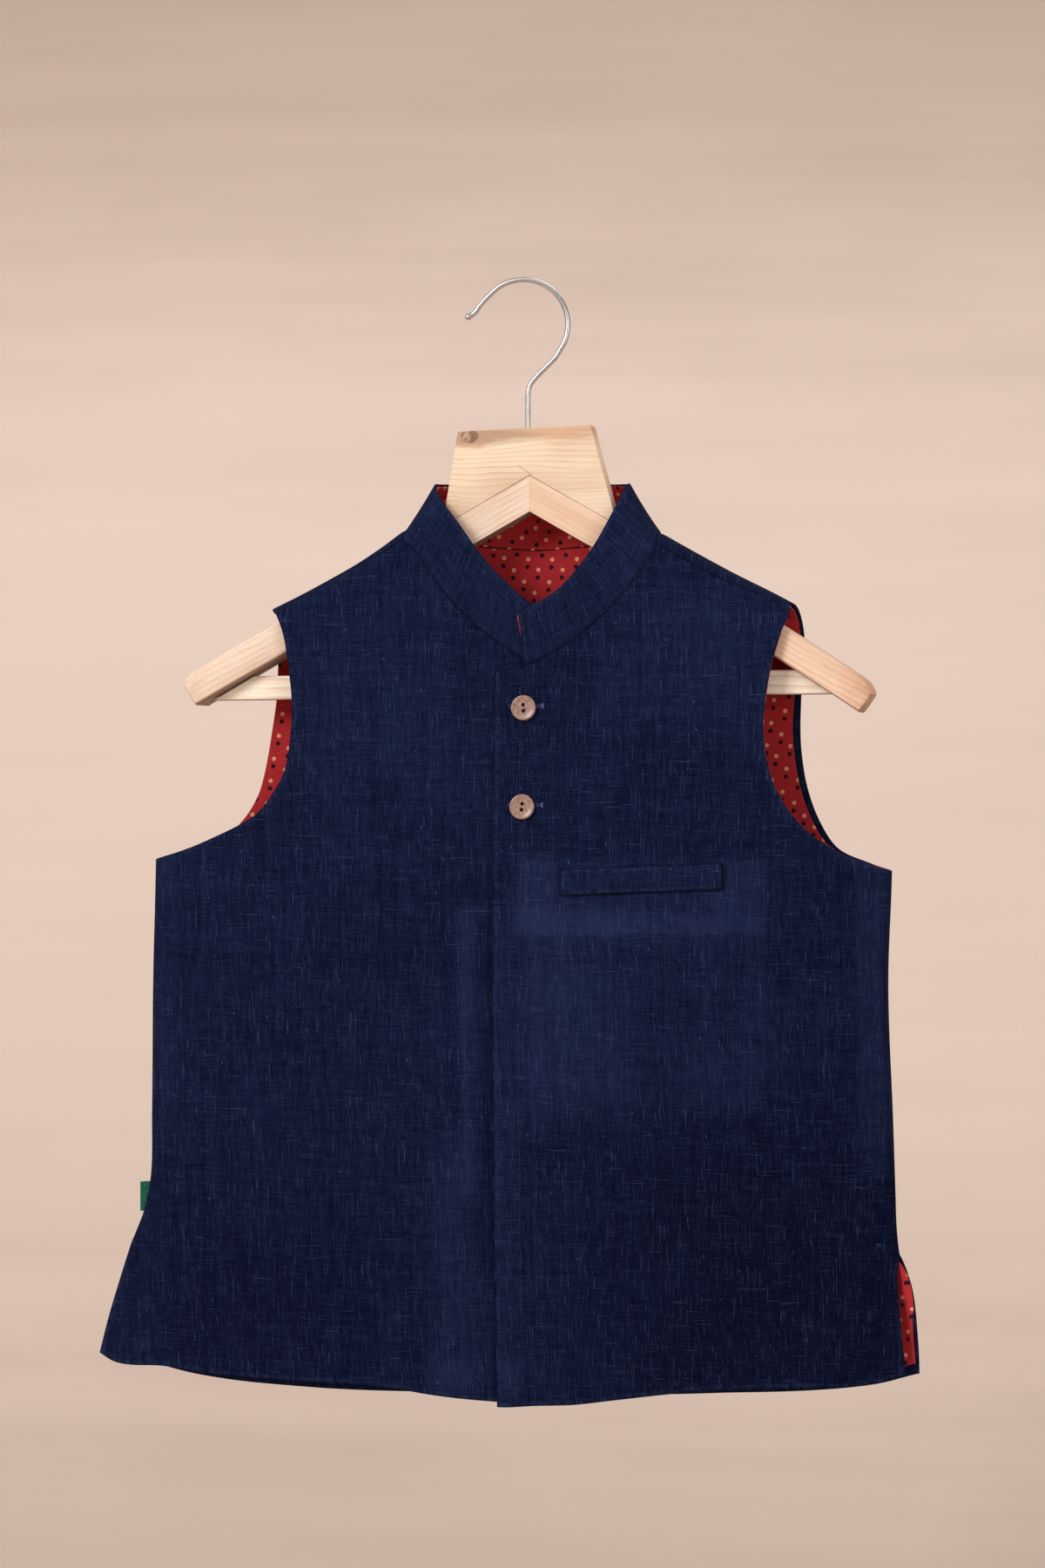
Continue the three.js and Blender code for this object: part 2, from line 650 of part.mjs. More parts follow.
// Two coconut buttons, flat on the left front at the centre line
function buttons() {
  const group = new THREE.Group();
  for (const [name, z] of Object.entries(BUTTON_HEIGHTS)) {
    const seat = onCloth(PANELS.frontLeft, CENTRE_X, z);
    const above = onCloth(PANELS.frontLeft, CENTRE_X, z + BUTTON_RADIUS);
    const below = onCloth(PANELS.frontLeft, CENTRE_X, z - BUTTON_RADIUS);
    const tilt = Math.atan2(above.y - below.y, above.z - below.z);
    const made = mesh(name, buttonGeometry(), FINISHES.coconut);
    made.rotation.x = Math.PI / 2 - tilt;
    const lift = SEAM_GAP + BUTTON_EDGE;
    made.position.set(CENTRE_X, Math.min(seat.y, (above.y + below.y) / 2) - lift, z);
    group.add(made);
  }
  return group;
}

// A plain folded tab, caught in the right side seam
function sideTab() {
  const lower = Math.max(...SIDE_LEVELS.filter((z) => z < TAB_TOP - TAB_HEIGHT));
  const upper = Math.min(...SIDE_LEVELS.filter((z) => z > TAB_TOP));
  const edge = (z) => {
    const share = (z - lower) / (upper - lower);
    const fold = THREE.MathUtils.lerp(sectionAt(lower).right, sectionAt(upper).right, share);
    return -fold + TAB_SEAT;
  };
  const outline = new THREE.Shape([
    new THREE.Vector2(edge(TAB_TOP), TAB_TOP),
    new THREE.Vector2(edge(TAB_TOP) - TAB_REACH, TAB_TOP - 1),
    new THREE.Vector2(edge(TAB_TOP - TAB_HEIGHT) - TAB_REACH, TAB_TOP - TAB_HEIGHT),
    new THREE.Vector2(edge(TAB_TOP - TAB_HEIGHT), TAB_TOP - TAB_HEIGHT),
  ]);
  const geometry = new THREE.ExtrudeGeometry(outline, { depth: TAB_THICK, bevelEnabled: false });
  geometry.rotateX(Math.PI / 2);
  geometry.translate(0, TAB_THICK / 2, 0);
  return mesh("side_label", geometry, FINISHES.green);
}

// Steel wire: a shank, a slight S, a wide round arc and a short turned-out tip
function hook() {
  const arc = Array.from({ length: 9 }, (_, i) => {
    const turn = THREE.MathUtils.degToRad(140 - i * 22.5);
    return [
      HOOK_ARC_CENTRE.x + HOOK_ARC_RADIUS * Math.cos(turn),
      HOOK_ARC_CENTRE.z + HOOK_ARC_RADIUS * Math.sin(turn),
    ];
  });
  const tip = [[-33.5, -20.2], [-28, -16.9], [-25.2, -13.2]];
  const shank = [[17.8, -45.1], [6.6, -56.2], [3.6, -62], [SHANK_X, -70], [SHANK_X, HEAD_TOP_Z + WOOD_GAP]];
  const points = [...tip, ...arc, ...shank].map(([x, z]) => new THREE.Vector3(x, 0, z));
  const section = new THREE.Shape().absarc(0, 0, WIRE_RADIUS, 0, 2 * Math.PI);
  const geometry = new THREE.ExtrudeGeometry(section, {
    steps: 44,
    extrudePath: new THREE.CatmullRomCurve3(points, false, "centripetal"),
    curveSegments: 4,
  });
  return mesh("hook", geometry, FINISHES.steel);
}

// The board above the arms: its lower edge is a notch that sits on their top edges
function hangerHead() {
  const notch = (arm, x) => APEX.z - arm.slope * Math.abs(x - APEX.x) + WOOD_GAP * 1.2;
  const outline = new THREE.Shape([
    new THREE.Vector2(-36.4, -85.9),
    new THREE.Vector2(-45.5, notch(ARM_RIGHT, -45.5)),
    new THREE.Vector2(APEX.x, APEX.z + WOOD_GAP * 1.2),
    new THREE.Vector2(56.5, notch(ARM_LEFT, 56.5)),
    new THREE.Vector2(41, -83.2),
    new THREE.Vector2(SHANK_X + 3, HEAD_TOP_Z),
    new THREE.Vector2(SHANK_X - 3, HEAD_TOP_Z),
  ]);
  const geometry = new THREE.ExtrudeGeometry(outline, { depth: HEAD_THICK, bevelEnabled: false });
  geometry.rotateX(Math.PI / 2);
  geometry.translate(0, HEAD_THICK / 2, 0);
  return mesh("hanger_head", geometry, FINISHES.wood);
}

// A ring of an arm: an upright section with eased corners, as deep as the arm is there.
function armRing(x, top, bottom, depth, edge, side) {
  const half = depth / 2;
  const corners = [
    [-half, bottom + edge], [-half + edge * 0.3, bottom + edge * 0.3], [-half + edge, bottom],
    [half - edge, bottom], [half - edge * 0.3, bottom + edge * 0.3], [half, bottom + edge],
    [half, top - edge], [half - edge * 0.3, top - edge * 0.3], [half - edge, top],
    [-half + edge, top], [-half + edge * 0.3, top - edge * 0.3], [-half, top - edge],
  ];
  const ring = corners.map(([y, z]) => new THREE.Vector3(x, y, z));
  return side > 0 ? ring : ring.reverse();
}

// An arm slopes down from the mitre at the apex, gets deeper outwards and ends in a round nose.
function hangerArm({ name, slope, end, side }) {
  const upright = ARM_HEIGHT * Math.sqrt(1 + slope * slope);
  const run = Math.abs(end - APEX.x);
  const body = [0, 0.2, 0.4, 0.6, 0.8, 0.93].map((share) => ({ share, shave: 0, shrink: 0 }));
  const nose = [
    { share: 0.965, shave: 1.6, shrink: 1 },
    { share: 0.99, shave: 5.5, shrink: 3 },
    { share: 1, shave: 9, shrink: 6 },
  ];
  const rings = [...body, ...nose].map(({ share, shave, shrink }) => {
    const reach = share * run;
    const x = APEX.x + side * Math.max(reach, WOOD_GAP / 2);
    const top = APEX.z - slope * reach;
    const depth = THREE.MathUtils.lerp(ARM_DEPTH_APEX, ARM_DEPTH_END, share ** 1.5) - shrink;
    const edge = Math.min(ARM_EDGE, THREE.MathUtils.lerp(1, ARM_EDGE, share * 3));
    return armRing(x, top - shave, top - upright + shave * 0.35, depth, edge, side);
  });
  return mesh(name, loft(rings), FINISHES.wood);
}

// The bar across, let in between the two arms' undersides
function crossbar() {
  const reachOf = (arm, z) => {
    const upright = ARM_HEIGHT * Math.sqrt(1 + arm.slope ** 2);
    return (APEX.z - upright - z - WOOD_GAP) / arm.slope;
  };
  const lower = CROSSBAR_TOP - CROSSBAR_HEIGHT;
  const ends = [ARM_RIGHT, ARM_LEFT].map((arm) => ({
    top: APEX.x + arm.side * reachOf(arm, CROSSBAR_TOP),
    bottom: APEX.x + arm.side * reachOf(arm, lower),
  }));
  const outline = new THREE.Shape([
    new THREE.Vector2(ends[0].top, CROSSBAR_TOP),
    new THREE.Vector2(ends[0].bottom, lower),
    new THREE.Vector2(ends[1].bottom, lower),
    new THREE.Vector2(ends[1].top, CROSSBAR_TOP),
  ]);
  const geometry = new THREE.ExtrudeGeometry(outline, {
    depth: CROSSBAR_DEPTH - 2 * CROSSBAR_EDGE,
    bevelThickness: CROSSBAR_EDGE,
    bevelSize: CROSSBAR_EDGE,
    bevelOffset: -CROSSBAR_EDGE,
    bevelSegments: 1,
  });
  geometry.rotateX(Math.PI / 2);
  geometry.translate(0, CROSSBAR_DEPTH / 2 - CROSSBAR_EDGE, 0);
  return mesh("hanger_crossbar", geometry, FINISHES.wood);
}

const jacket = new THREE.Group();
jacket.add(
  garmentPanels(),
  collar(),
  pocketWelt(),
  buttons(),
  sideTab(),
  hook(),
  hangerHead(),
  hangerArm(ARM_RIGHT),
  hangerArm(ARM_LEFT),
  crossbar(),
);

export default jacket;
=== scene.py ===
"""Dresses a child's sleeveless jacket and its wooden hanger, then lights them for the camera.

Sizes are in millimetres and become metres where a mesh is finished. X runs to the wearer's left,
Y to the back and Z up, from under the top of the hook's wire.
"""

from __future__ import annotations

import bisect
import logging
import math
import random
from collections.abc import Callable, Sequence
from dataclasses import dataclass, field
from enum import Enum

import bmesh
import bpy
from mathutils import Matrix, Vector, kdtree

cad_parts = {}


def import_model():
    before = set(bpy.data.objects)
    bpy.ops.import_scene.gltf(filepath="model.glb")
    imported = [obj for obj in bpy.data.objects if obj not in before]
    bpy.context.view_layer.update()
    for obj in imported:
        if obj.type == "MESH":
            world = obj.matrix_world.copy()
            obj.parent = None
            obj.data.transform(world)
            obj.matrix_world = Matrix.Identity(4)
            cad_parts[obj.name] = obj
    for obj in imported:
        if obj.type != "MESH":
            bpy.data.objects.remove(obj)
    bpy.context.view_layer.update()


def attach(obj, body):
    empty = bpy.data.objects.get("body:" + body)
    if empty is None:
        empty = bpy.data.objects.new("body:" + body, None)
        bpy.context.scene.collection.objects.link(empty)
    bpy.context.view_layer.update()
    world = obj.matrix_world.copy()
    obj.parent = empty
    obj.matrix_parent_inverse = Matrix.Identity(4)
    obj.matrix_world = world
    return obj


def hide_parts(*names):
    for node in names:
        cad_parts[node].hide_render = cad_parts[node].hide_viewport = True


log = logging.getLogger("jacket")

Point = tuple[float, float]
Colour = tuple[float, float, float, float]
Socket = bpy.types.NodeSocket

MM = 0.001
BODY = "root"
SMOOTH = 180.0
ROLL_ANGLE = 55.0


def srgb(red: int, green: int, blue: int) -> Colour:
    """Turns a screen colour of 0 to 255 into the linear one that a shader takes."""
    parts = [part / 255 for part in (red, green, blue)]
    linear = [p / 12.92 if p <= 0.04045 else ((p + 0.055) / 1.055) ** 2.4 for p in parts]
    return (linear[0], linear[1], linear[2], 1.0)


def mix(start: float, end: float, share: float) -> float:
    """Goes from start to end in a straight line."""
    return start + (end - start) * share


def smoothstep(value: float, low: float, high: float) -> float:
    """Eases from 0 at low to 1 at high."""
    share = min(1.0, max(0.0, (value - low) / (high - low)))
    return share * share * (3 - 2 * share)


class Slot(Enum):
    """The record's material slots."""

    INDIGO = "indigo_cotton"
    LINING = "dotted_lining"
    COCONUT = "coconut_shell"
    GREEN = "green_tape"
    STEEL = "steel_wire"
    WOOD = "pale_wood"


class Face(Enum):
    """The two sides of the hung body."""

    FRONT = "front"
    BACK = "back"


# Curves through tables


class SmoothTable:
    """A smooth function through a table's rows, whose first column is the input."""

    def __init__(self, rows: Sequence[Sequence[float]]) -> None:
        """Sorts the rows by their input.

        Args:
            rows: Each row is an input and one or more outputs.
        """
        ordered = sorted(rows)
        self.inputs = [row[0] for row in ordered]
        self.outputs = [row[1:] for row in ordered]

    def all_at(self, at: float) -> list[float]:
        """Gives every output at one input.

        Args:
            at: The input. Past either end, the end row holds.

        Returns:
            The row's outputs there.
        """
        last = len(self.inputs) - 1
        if at <= self.inputs[0]:
            return list(self.outputs[0])
        if at >= self.inputs[last]:
            return list(self.outputs[last])
        after = bisect.bisect_right(self.inputs, at)
        before = after - 1
        start, end = self.inputs[before], self.inputs[after]
        prior = before - 1 if before > 0 else after
        later = after + 1 if after < last else before
        half = (end - start) / 2
        ease_in = half / (start - self.inputs[prior])
        ease_out = half / (self.inputs[later] - end)
        p = (at - start) / (end - start)
        weights = (
            (prior, -ease_in * p**3 + 2 * ease_in * p**2 - ease_in * p),
            (before, (1 + ease_in) * p**3 - (1.5 + 2 * ease_in) * p**2 + (ease_in - 0.5) * p + 1),
            (after, -(1 + ease_out) * p**3 + (1.5 + ease_out) * p**2 + 0.5 * p),
            (later, ease_out * (p**3 - p**2)),
        )
        width = len(self.outputs[0])
        return [sum(weight * self.outputs[row][i] for row, weight in weights) for i in range(width)]

    def __call__(self, at: float) -> float:
        """Gives the first output at one input."""
        return self.all_at(at)[0]


class Spline:
    """A smooth path through points, each as many numbers as the others."""

    def __init__(self, points: Sequence[Sequence[float]]) -> None:
        """Keeps the points in order.

        Args:
            points: The places that the path goes through.
        """
        self.points = [tuple(point) for point in points]

    def at(self, share: float) -> tuple[float, ...]:
        """Gives the place at a share of the path's points.

        Args:
            share: 0 at the first point and 1 at the last.

        Returns:
            The place there.
        """
        last = len(self.points) - 1
        place = min(1.0, max(0.0, share)) * last
        index = min(int(place), last)
        p = place - index
        p0 = self.points[max(0, index - 1)]
        p1 = self.points[index]
        p2 = self.points[min(last, index + 1)]
        p3 = self.points[min(last, index + 2)]
        result = []
        for a, b, c, d in zip(p0, p1, p2, p3):
            in_slope, out_slope = (c - a) / 2, (d - b) / 2
            cubic = 2 * b - 2 * c + in_slope + out_slope
            square = -3 * b + 3 * c - 2 * in_slope - out_slope
            result.append(cubic * p**3 + square * p**2 + in_slope * p + b)
        return tuple(result)

    def spaced(self, count: int) -> list[Vector]:
        """Gives count + 1 places at equal distances along the path.

        Args:
            count: How many equal steps the path is cut into.

        Returns:
            The places, both ends among them.
        """
        fine = [Vector(self.at(i / 1200)) for i in range(1201)]
        lengths = [0.0]
        for before, after in zip(fine, fine[1:]):
            lengths.append(lengths[-1] + (after - before).length)
        places = []
        for i in range(count + 1):
            target = lengths[-1] * i / count
            index = min(len(fine) - 2, max(0, bisect.bisect_right(lengths, target) - 1))
            span = lengths[index + 1] - lengths[index]
            places.append(fine[index].lerp(fine[index + 1], (target - lengths[index]) / span))
        return places


# The form of the hung cloth, in the same numbers as its solids

# Height, right and left side folds, how far the front and the back stand off the hanger's plane
SECTIONS = (
    (-645, 258, 231, 16, 17),
    (-600, 249, 226.5, 18.5, 18.5),
    (-577, 241, 221.5, 20, 20),
    (-553, 232, 216.8, 21.5, 21.5),
    (-538, 226, 215.2, 22.5, 22),
    (-518, 221.7, 214.5, 24, 23),
    (-480, 220.8, 213.2, 26, 24.5),
    (-400, 220, 210.4, 28, 26),
    (-337, 218.5, 212.5, 27, 25),
    (-260, 218, 213, 23.5, 22.5),
    (-200, 219, 214, 21.7, 21.5),
    (-110, 219, 214, 21, 21.5),
)
SLIT_TOP = -553.0
SIDE_LEVELS = (SLIT_TOP, -535, -515, -480, -430, -380)
UNDERARM_RIGHT_Z = -332.0
UNDERARM_LEFT_Z = -337.0
CHEST_Z = (UNDERARM_RIGHT_Z + UNDERARM_LEFT_Z) / 2

# Top line of the cloth over the hanger's arms, and how far below it each shoulder seam lies
RIDGE = (
    (-150, -188), (-129, -178.2), (-113, -170), (-95, -160.2), (-80, -150.6), (-67.2, -141.6),
    (5.6, -101), (79.9, -144.5), (99.7, -155.8), (122, -168), (146.7, -180.5), (165, -190.5),
)
SEAM_DROP = (
    (-146, 0.8), (-111, 2.4), (-93, 3.6), (-81, 5), (-64, 7.5), (80, 6.8), (115, 6.8), (149, 5),
    (156, 7.5),
)
NECK_POINT_RIGHT, NECK_POINT_LEFT = -66.0, 80.5
SHOULDER_TIP_RIGHT, SHOULDER_TIP_LEFT = -146.0, 156.0

LEFT_EDGE_X = -11.7
RIGHT_EDGE_X = 24.0
CENTRE_X = 6.0
LEFT_EDGE_TOP = -224.5
RIGHT_EDGE_TOP = -225.5
BACK_NECK_Z = -153.5

FRONT_HEM = (
    (-252, -621), (-241, -625.7), (-210, -626.5), (-177, -630), (-125, -632), (-83, -633.5),
    (-47, -638), (-14, -641), (29, -641.3), (54, -638), (104, -631.3), (153, -628.2),
    (201, -625.8), (222, -620),
)
BACK_HEM = (
    (-249, -619), (-200, -633.5), (-125, -640.5), (-60, -641.2), (0, -641), (104, -637),
    (201, -628), (227.5, -620),
)


@dataclass(frozen=True)
class Fold:
    """A soft fold: a ridge if high is above 0, and a trough below it."""

    face: Face
    x: float
    z: float
    lean: float
    wide: float
    long: float
    high: float

    def height(self, x: float, z: float) -> float:
        """Gives how far the fold lifts the cloth at a place."""
        across = (x - self.x - self.lean * (z - self.z)) / self.wide
        if abs(across) > 3:
            return 0.0
        along = (z - self.z) / self.long
        if abs(along) > 1.6:
            return 0.0
        return self.high * math.exp(-across * across - along**4)


# The main folds, which the solids have too
MAIN_FOLDS = (
    Fold(Face.FRONT, -28, -465, 0.01, 8, 95, 1.7),
    Fold(Face.FRONT, -120, -560, -0.12, 24, 90, 1.6),
    Fold(Face.FRONT, 128, -520, 0.1, 26, 110, 1.5),
    Fold(Face.FRONT, -170, -400, 0.16, 20, 70, -1.2),
    Fold(Face.FRONT, 168, -385, -0.18, 20, 60, -1.2),
    Fold(Face.BACK, -60, -480, 0.05, 22, 120, 1.8),
    Fold(Face.BACK, 72, -500, -0.06, 24, 110, 1.7),
    Fold(Face.BACK, 150, -390, -0.2, 20, 65, -1.2),
    Fold(Face.BACK, -155, -400, 0.18, 20, 70, -1.2),
)
# Finer creases, which only this script has
FINE_FOLDS = (
    Fold(Face.FRONT, -17.5, -455, 0.0, 3.2, 110, -0.9),
    Fold(Face.FRONT, -40, -480, 0.02, 5, 90, -0.5),
    Fold(Face.FRONT, -62, -560, 0.03, 9, 60, 0.6),
    Fold(Face.FRONT, -84, -585, -0.05, 7, 48, -0.6),
    Fold(Face.FRONT, -205, -585, -0.25, 11, 40, 1.0),
    Fold(Face.FRONT, -226, -590, -0.35, 7, 28, -0.9),
    Fold(Face.FRONT, -150, -352, 0.5, 8, 26, -0.6),
    Fold(Face.FRONT, 142, -352, -0.45, 9, 28, -0.6),
    Fold(Face.FRONT, -112, -222, 0.2, 9, 30, -0.5),
    Fold(Face.FRONT, 118, -225, -0.22, 10, 32, -0.5),
    Fold(Face.FRONT, 60, -575, 0.04, 10, 60, -0.6),
    Fold(Face.FRONT, 92, -600, 0.06, 8, 40, 0.7),
    Fold(Face.FRONT, 186, -560, 0.1, 9, 60, 0.7),
    Fold(Face.FRONT, 36, -480, 0.0, 9, 120, 0.4),
    Fold(Face.BACK, 0, -560, 0.02, 12, 75, -0.7),
    Fold(Face.BACK, 28, -600, 0.03, 9, 40, 0.6),
    Fold(Face.BACK, -112, -590, -0.05, 10, 45, 0.8),
    Fold(Face.BACK, 120, -590, 0.06, 10, 45, 0.7),
    Fold(Face.BACK, -196, -580, -0.2, 12, 50, 0.9),
    Fold(Face.BACK, 176, -575, 0.12, 12, 50, 0.8),
    Fold(Face.BACK, -70, -215, 0.3, 10, 36, -0.6),
    Fold(Face.BACK, 82, -216, -0.3, 10, 36, -0.6),
    Fold(Face.BACK, 5, -190, 0.0, 40, 22, 0.5),
)


@dataclass
class ClothForm:
    """The closed body as it hangs: a flat lens that bends over the hanger's arms.

    A place on the flat pattern is x across and up. Up is the height, and past the foot of the
    bend it goes on along the cloth.
    """

    lens_power: float = 3.0
    bend_height: float = 20.0
    bend_power: float = 3.0
    bend_steps: int = 240
    overlap_depth: float = 3.55
    overlap_from: float = -42.0
    overlap_full: float = -15.0
    folds: tuple[Fold, ...] = MAIN_FOLDS + FINE_FOLDS
    bend: list[Point] = field(init=False)
    travelled: list[float] = field(init=False)

    def __post_init__(self) -> None:
        """Works out the bend's quarter round and sorts the folds by face."""
        self.section = SmoothTable(SECTIONS)
        self.ridge = SmoothTable(RIDGE)
        self.drop = SmoothTable(SEAM_DROP)
        self.hems = {Face.FRONT: SmoothTable(FRONT_HEM), Face.BACK: SmoothTable(BACK_HEM)}
        self.by_face = {face: [f for f in self.folds if f.face is face] for face in Face}
        self.bend = []
        for i in range(self.bend_steps + 1):
            turn = i / self.bend_steps * math.pi / 2
            out = max(0.0, math.cos(turn)) ** (2 / self.bend_power)
            self.bend.append((out, math.sin(turn) ** (2 / self.bend_power)))
        self.travelled = [0.0]
        for before, after in zip(self.bend, self.bend[1:]):
            self.travelled.append(self.travelled[-1] + math.dist(before, after))
        self.bend_length = self.travelled[-1]

    def bend_at(self, share: float) -> Point:
        """Gives how far out and up the quarter round is at a share of its length."""
        target = min(1.0, max(0.0, share)) * self.bend_length
        index = min(self.bend_steps - 1, max(0, bisect.bisect_right(self.travelled, target) - 1))
        span = self.travelled[index + 1] - self.travelled[index]
        part = (target - self.travelled[index]) / span
        (out, up), (next_out, next_up) = self.bend[index], self.bend[index + 1]
        return mix(out, next_out, part), mix(up, next_up, part)

    def up_at(self, x: float, z: float) -> float:
        """Gives the pattern's height of a front point at height z."""
        foot = self.ridge(x) - self.bend_height
        if z <= foot:
            return z
        rise = min(1.0, (z - foot) / self.bend_height)
        low, high = 0.0, 1.0
        for _ in range(24):
            middle = (low + high) / 2
            if self.bend_at(middle)[1] < rise:
                low = middle
            else:
                high = middle
        return foot + low * self.bend_length * self.bend_height

    def top_up(self, x: float) -> float:
        """Gives the pattern's height at the very top of the bend."""
        return self.ridge(x) + (self.bend_length - 1) * self.bend_height

    def seam_up(self, face: Face, x: float) -> float:
        """Gives the pattern's height of the shoulder seam, for the front or the back."""
        front = self.up_at(x, self.ridge(x) - self.drop(x))
        return front if face is Face.FRONT else 2 * self.top_up(x) - front

    def fold_height(self, face: Face, x: float, z: float) -> float:
        """Gives how far all folds of one face lift the cloth at a place."""
        return sum(fold.height(x, z) for fold in self.by_face[face])

    def depth(self, face: Face, x: float, level: float, under: bool) -> float:
        """Gives the shell's outer face along Y at a place below the bend."""
        right, left, front, back = self.section.all_at(level)
        half = right if x < 0 else left
        lens = math.sqrt(max(0.0, 1 - (abs(x) / half) ** self.lens_power))
        if face is Face.BACK:
            return (back + self.fold_height(face, x, level)) * lens
        tuck = self.overlap_depth * smoothstep(x, self.overlap_from, self.overlap_full) if under else 0
        return tuck - (front + self.fold_height(face, x, level)) * lens

    def point(self, face: Face, x: float, up: float, under: bool = False) -> Vector:
        """Lays a place of the flat pattern on the hung form.

        Args:
            face: Whether the pattern is a front or a back.
            x: Its place across.
            up: Its height on the flat pattern.
            under: True for the right front, which passes behind the left one.

        Returns:
            The place on the shell's outer face.
        """
        foot = self.ridge(x) - self.bend_height
        level = min(up, foot)
        if up <= foot:
            return Vector((x, self.depth(face, x, level, under), up))
        travelled = (up - foot) / self.bend_height
        over_top = travelled > self.bend_length
        share = (2 * self.bend_length - travelled if over_top else travelled) / self.bend_length
        out, rise = self.bend_at(share)
        near = face if not over_top else (Face.BACK if face is Face.FRONT else Face.FRONT)
        depth = self.depth(near, x, level, under and near is Face.FRONT)
        return Vector((x, depth * out, foot + self.bend_height * rise))


# Patterns of the cut panels


class Zone(Enum):
    """The stretches of a panel from the hem up, with the rows of cells that each one gets."""

    SLIT = 26
    SIDE = 62
    CHEST = 40
    SHOULDER = 34


@dataclass(frozen=True)
class Inset:
    """How far a lining's edges are drawn in from the shell's."""

    hem: float = 0.0
    slit: float = 0.0
    armhole: float = 0.0
    front: float = 0.0


@dataclass(frozen=True)
class HalfPattern:
    """One half of a front or a back, cut between its middle and its side.

    Its lower corner at the middle can hang lower than the hem, by corner_drop and over about
    corner_wide across.
    """

    face: Face
    right: bool
    middle: Point
    slit: tuple[Point, ...]
    lower: tuple[Point, ...]
    upper: tuple[Point, ...]
    neck: tuple[Point, ...]
    under: bool = False
    corner_drop: float = 0.0
    corner_wide: float = 17.0

    def stretches(self, form: ClothForm) -> dict[Zone, tuple[Spline, Spline]]:
        """Gives the inner and outer edge of each stretch on the flat pattern.

        Args:
            form: The hung form, which turns heights into pattern heights.

        Returns:
            For each stretch, its edge near the middle and its edge at the side.
        """
        middle_x, middle_top = self.middle
        is_front = self.face is Face.FRONT
        neck_x = NECK_POINT_RIGHT if self.right else NECK_POINT_LEFT
        tip_x = SHOULDER_TIP_RIGHT if self.right else SHOULDER_TIP_LEFT
        underarm = UNDERARM_RIGHT_Z if self.right else UNDERARM_LEFT_Z
        levels = (*SIDE_LEVELS, underarm)

        def ends(x: float) -> list[Point]:
            """Gives the last points of an edge, up to the shoulder seam."""
            if is_front:
                return [(x, form.seam_up(Face.FRONT, x))]
            return [(x, form.top_up(x)), (x, form.seam_up(Face.BACK, x))]

        def flat(points: Sequence[Point]) -> list[Point]:
            """Turns points at heights into points of the pattern."""
            return [(x, form.up_at(x, z)) for x, z in points]

        hem_z = form.hems[self.face](middle_x)
        inner = {
            Zone.SLIT: [(middle_x, hem_z), (middle_x, SLIT_TOP)],
            Zone.SIDE: [(middle_x, z) for z in (*SIDE_LEVELS, CHEST_Z)],
            Zone.CHEST: [(middle_x, CHEST_Z), (middle_x, middle_top)],
            Zone.SHOULDER: flat(self.neck) + ends(neck_x),
        }
        outer = {
            Zone.SLIT: self.slit,
            Zone.SIDE: [(self.side_fold(form, z), z) for z in levels],
            Zone.CHEST: flat(self.lower),
            Zone.SHOULDER: flat(self.upper) + ends(tip_x),
        }
        return {zone: (Spline(inner[zone]), Spline(outer[zone])) for zone in Zone}

    def side_fold(self, form: ClothForm, z: float) -> float:
        """Gives where the side fold lies at a height."""
        right, left = form.section.all_at(z)[:2]
        return -right if self.right else left


ARM_RIGHT_FRONT_LOWER = (
    (-218.5, -332), (-209, -329.5), (-198, -326.3), (-183.8, -321), (-161.5, -311),
    (-150.3, -303.3), (-141, -291), (-134.8, -278), (-131.7, -258),
)
ARM_RIGHT_FRONT_UPPER = (
    (-131.7, -258), (-131.6, -238), (-134.8, -213), (-136.9, -202), (-140, -193.5),
)
ARM_LEFT_FRONT_LOWER = (
    (212.5, -337), (200.5, -332.8), (181.4, -325), (162.3, -310.3), (148.9, -290.7),
    (143.1, -271), (141.6, -254),
)
ARM_LEFT_FRONT_UPPER = ((141.6, -254), (143.1, -238), (145.2, -225), (148, -214), (152, -201))
ARM_RIGHT_BACK_LOWER = (
    (-218.5, -332), (-209, -329.2), (-196, -324.5), (-175.2, -313.8), (-163, -298),
    (-157, -280), (-152.5, -255),
)
ARM_RIGHT_BACK_UPPER = ((-152.5, -255), (-150, -237), (-149, -213), (-148.4, -199))
ARM_LEFT_BACK_LOWER = (
    (212.5, -337), (198, -332.5), (180, -324.5), (168.8, -308), (161.8, -288), (158.8, -268),
    (158.3, -253.5),
)
ARM_LEFT_BACK_UPPER = ((158.3, -253.5), (158.9, -237), (160.2, -213), (160.4, -201))

RIGHT_FRONT = HalfPattern(
    face=Face.FRONT,
    right=True,
    middle=(RIGHT_EDGE_X, RIGHT_EDGE_TOP),
    slit=((-252, -621), (-246.3, -600), (-239.4, -577), (-232, SLIT_TOP)),
    lower=ARM_RIGHT_FRONT_LOWER,
    upper=ARM_RIGHT_FRONT_UPPER,
    neck=(
        (RIGHT_EDGE_X, RIGHT_EDGE_TOP), (10, -220.6), (-9, -208.1), (-27.7, -193.4),
        (-44.3, -174.8), (-57.5, -155.3),
    ),
    under=True,
)
LEFT_FRONT = HalfPattern(
    face=Face.FRONT,
    right=False,
    middle=(LEFT_EDGE_X, LEFT_EDGE_TOP),
    slit=((220.6, -620), (218.4, -600), (216.4, -577), (215.6, -564), (216.8, SLIT_TOP)),
    lower=ARM_LEFT_FRONT_LOWER,
    upper=ARM_LEFT_FRONT_UPPER,
    neck=(
        (LEFT_EDGE_X, LEFT_EDGE_TOP), (8.3, -219.8), (21.5, -213.1), (43.4, -198.4),
        (64, -177.1), (77.2, -159.6),
    ),
    corner_drop=2.4,
)
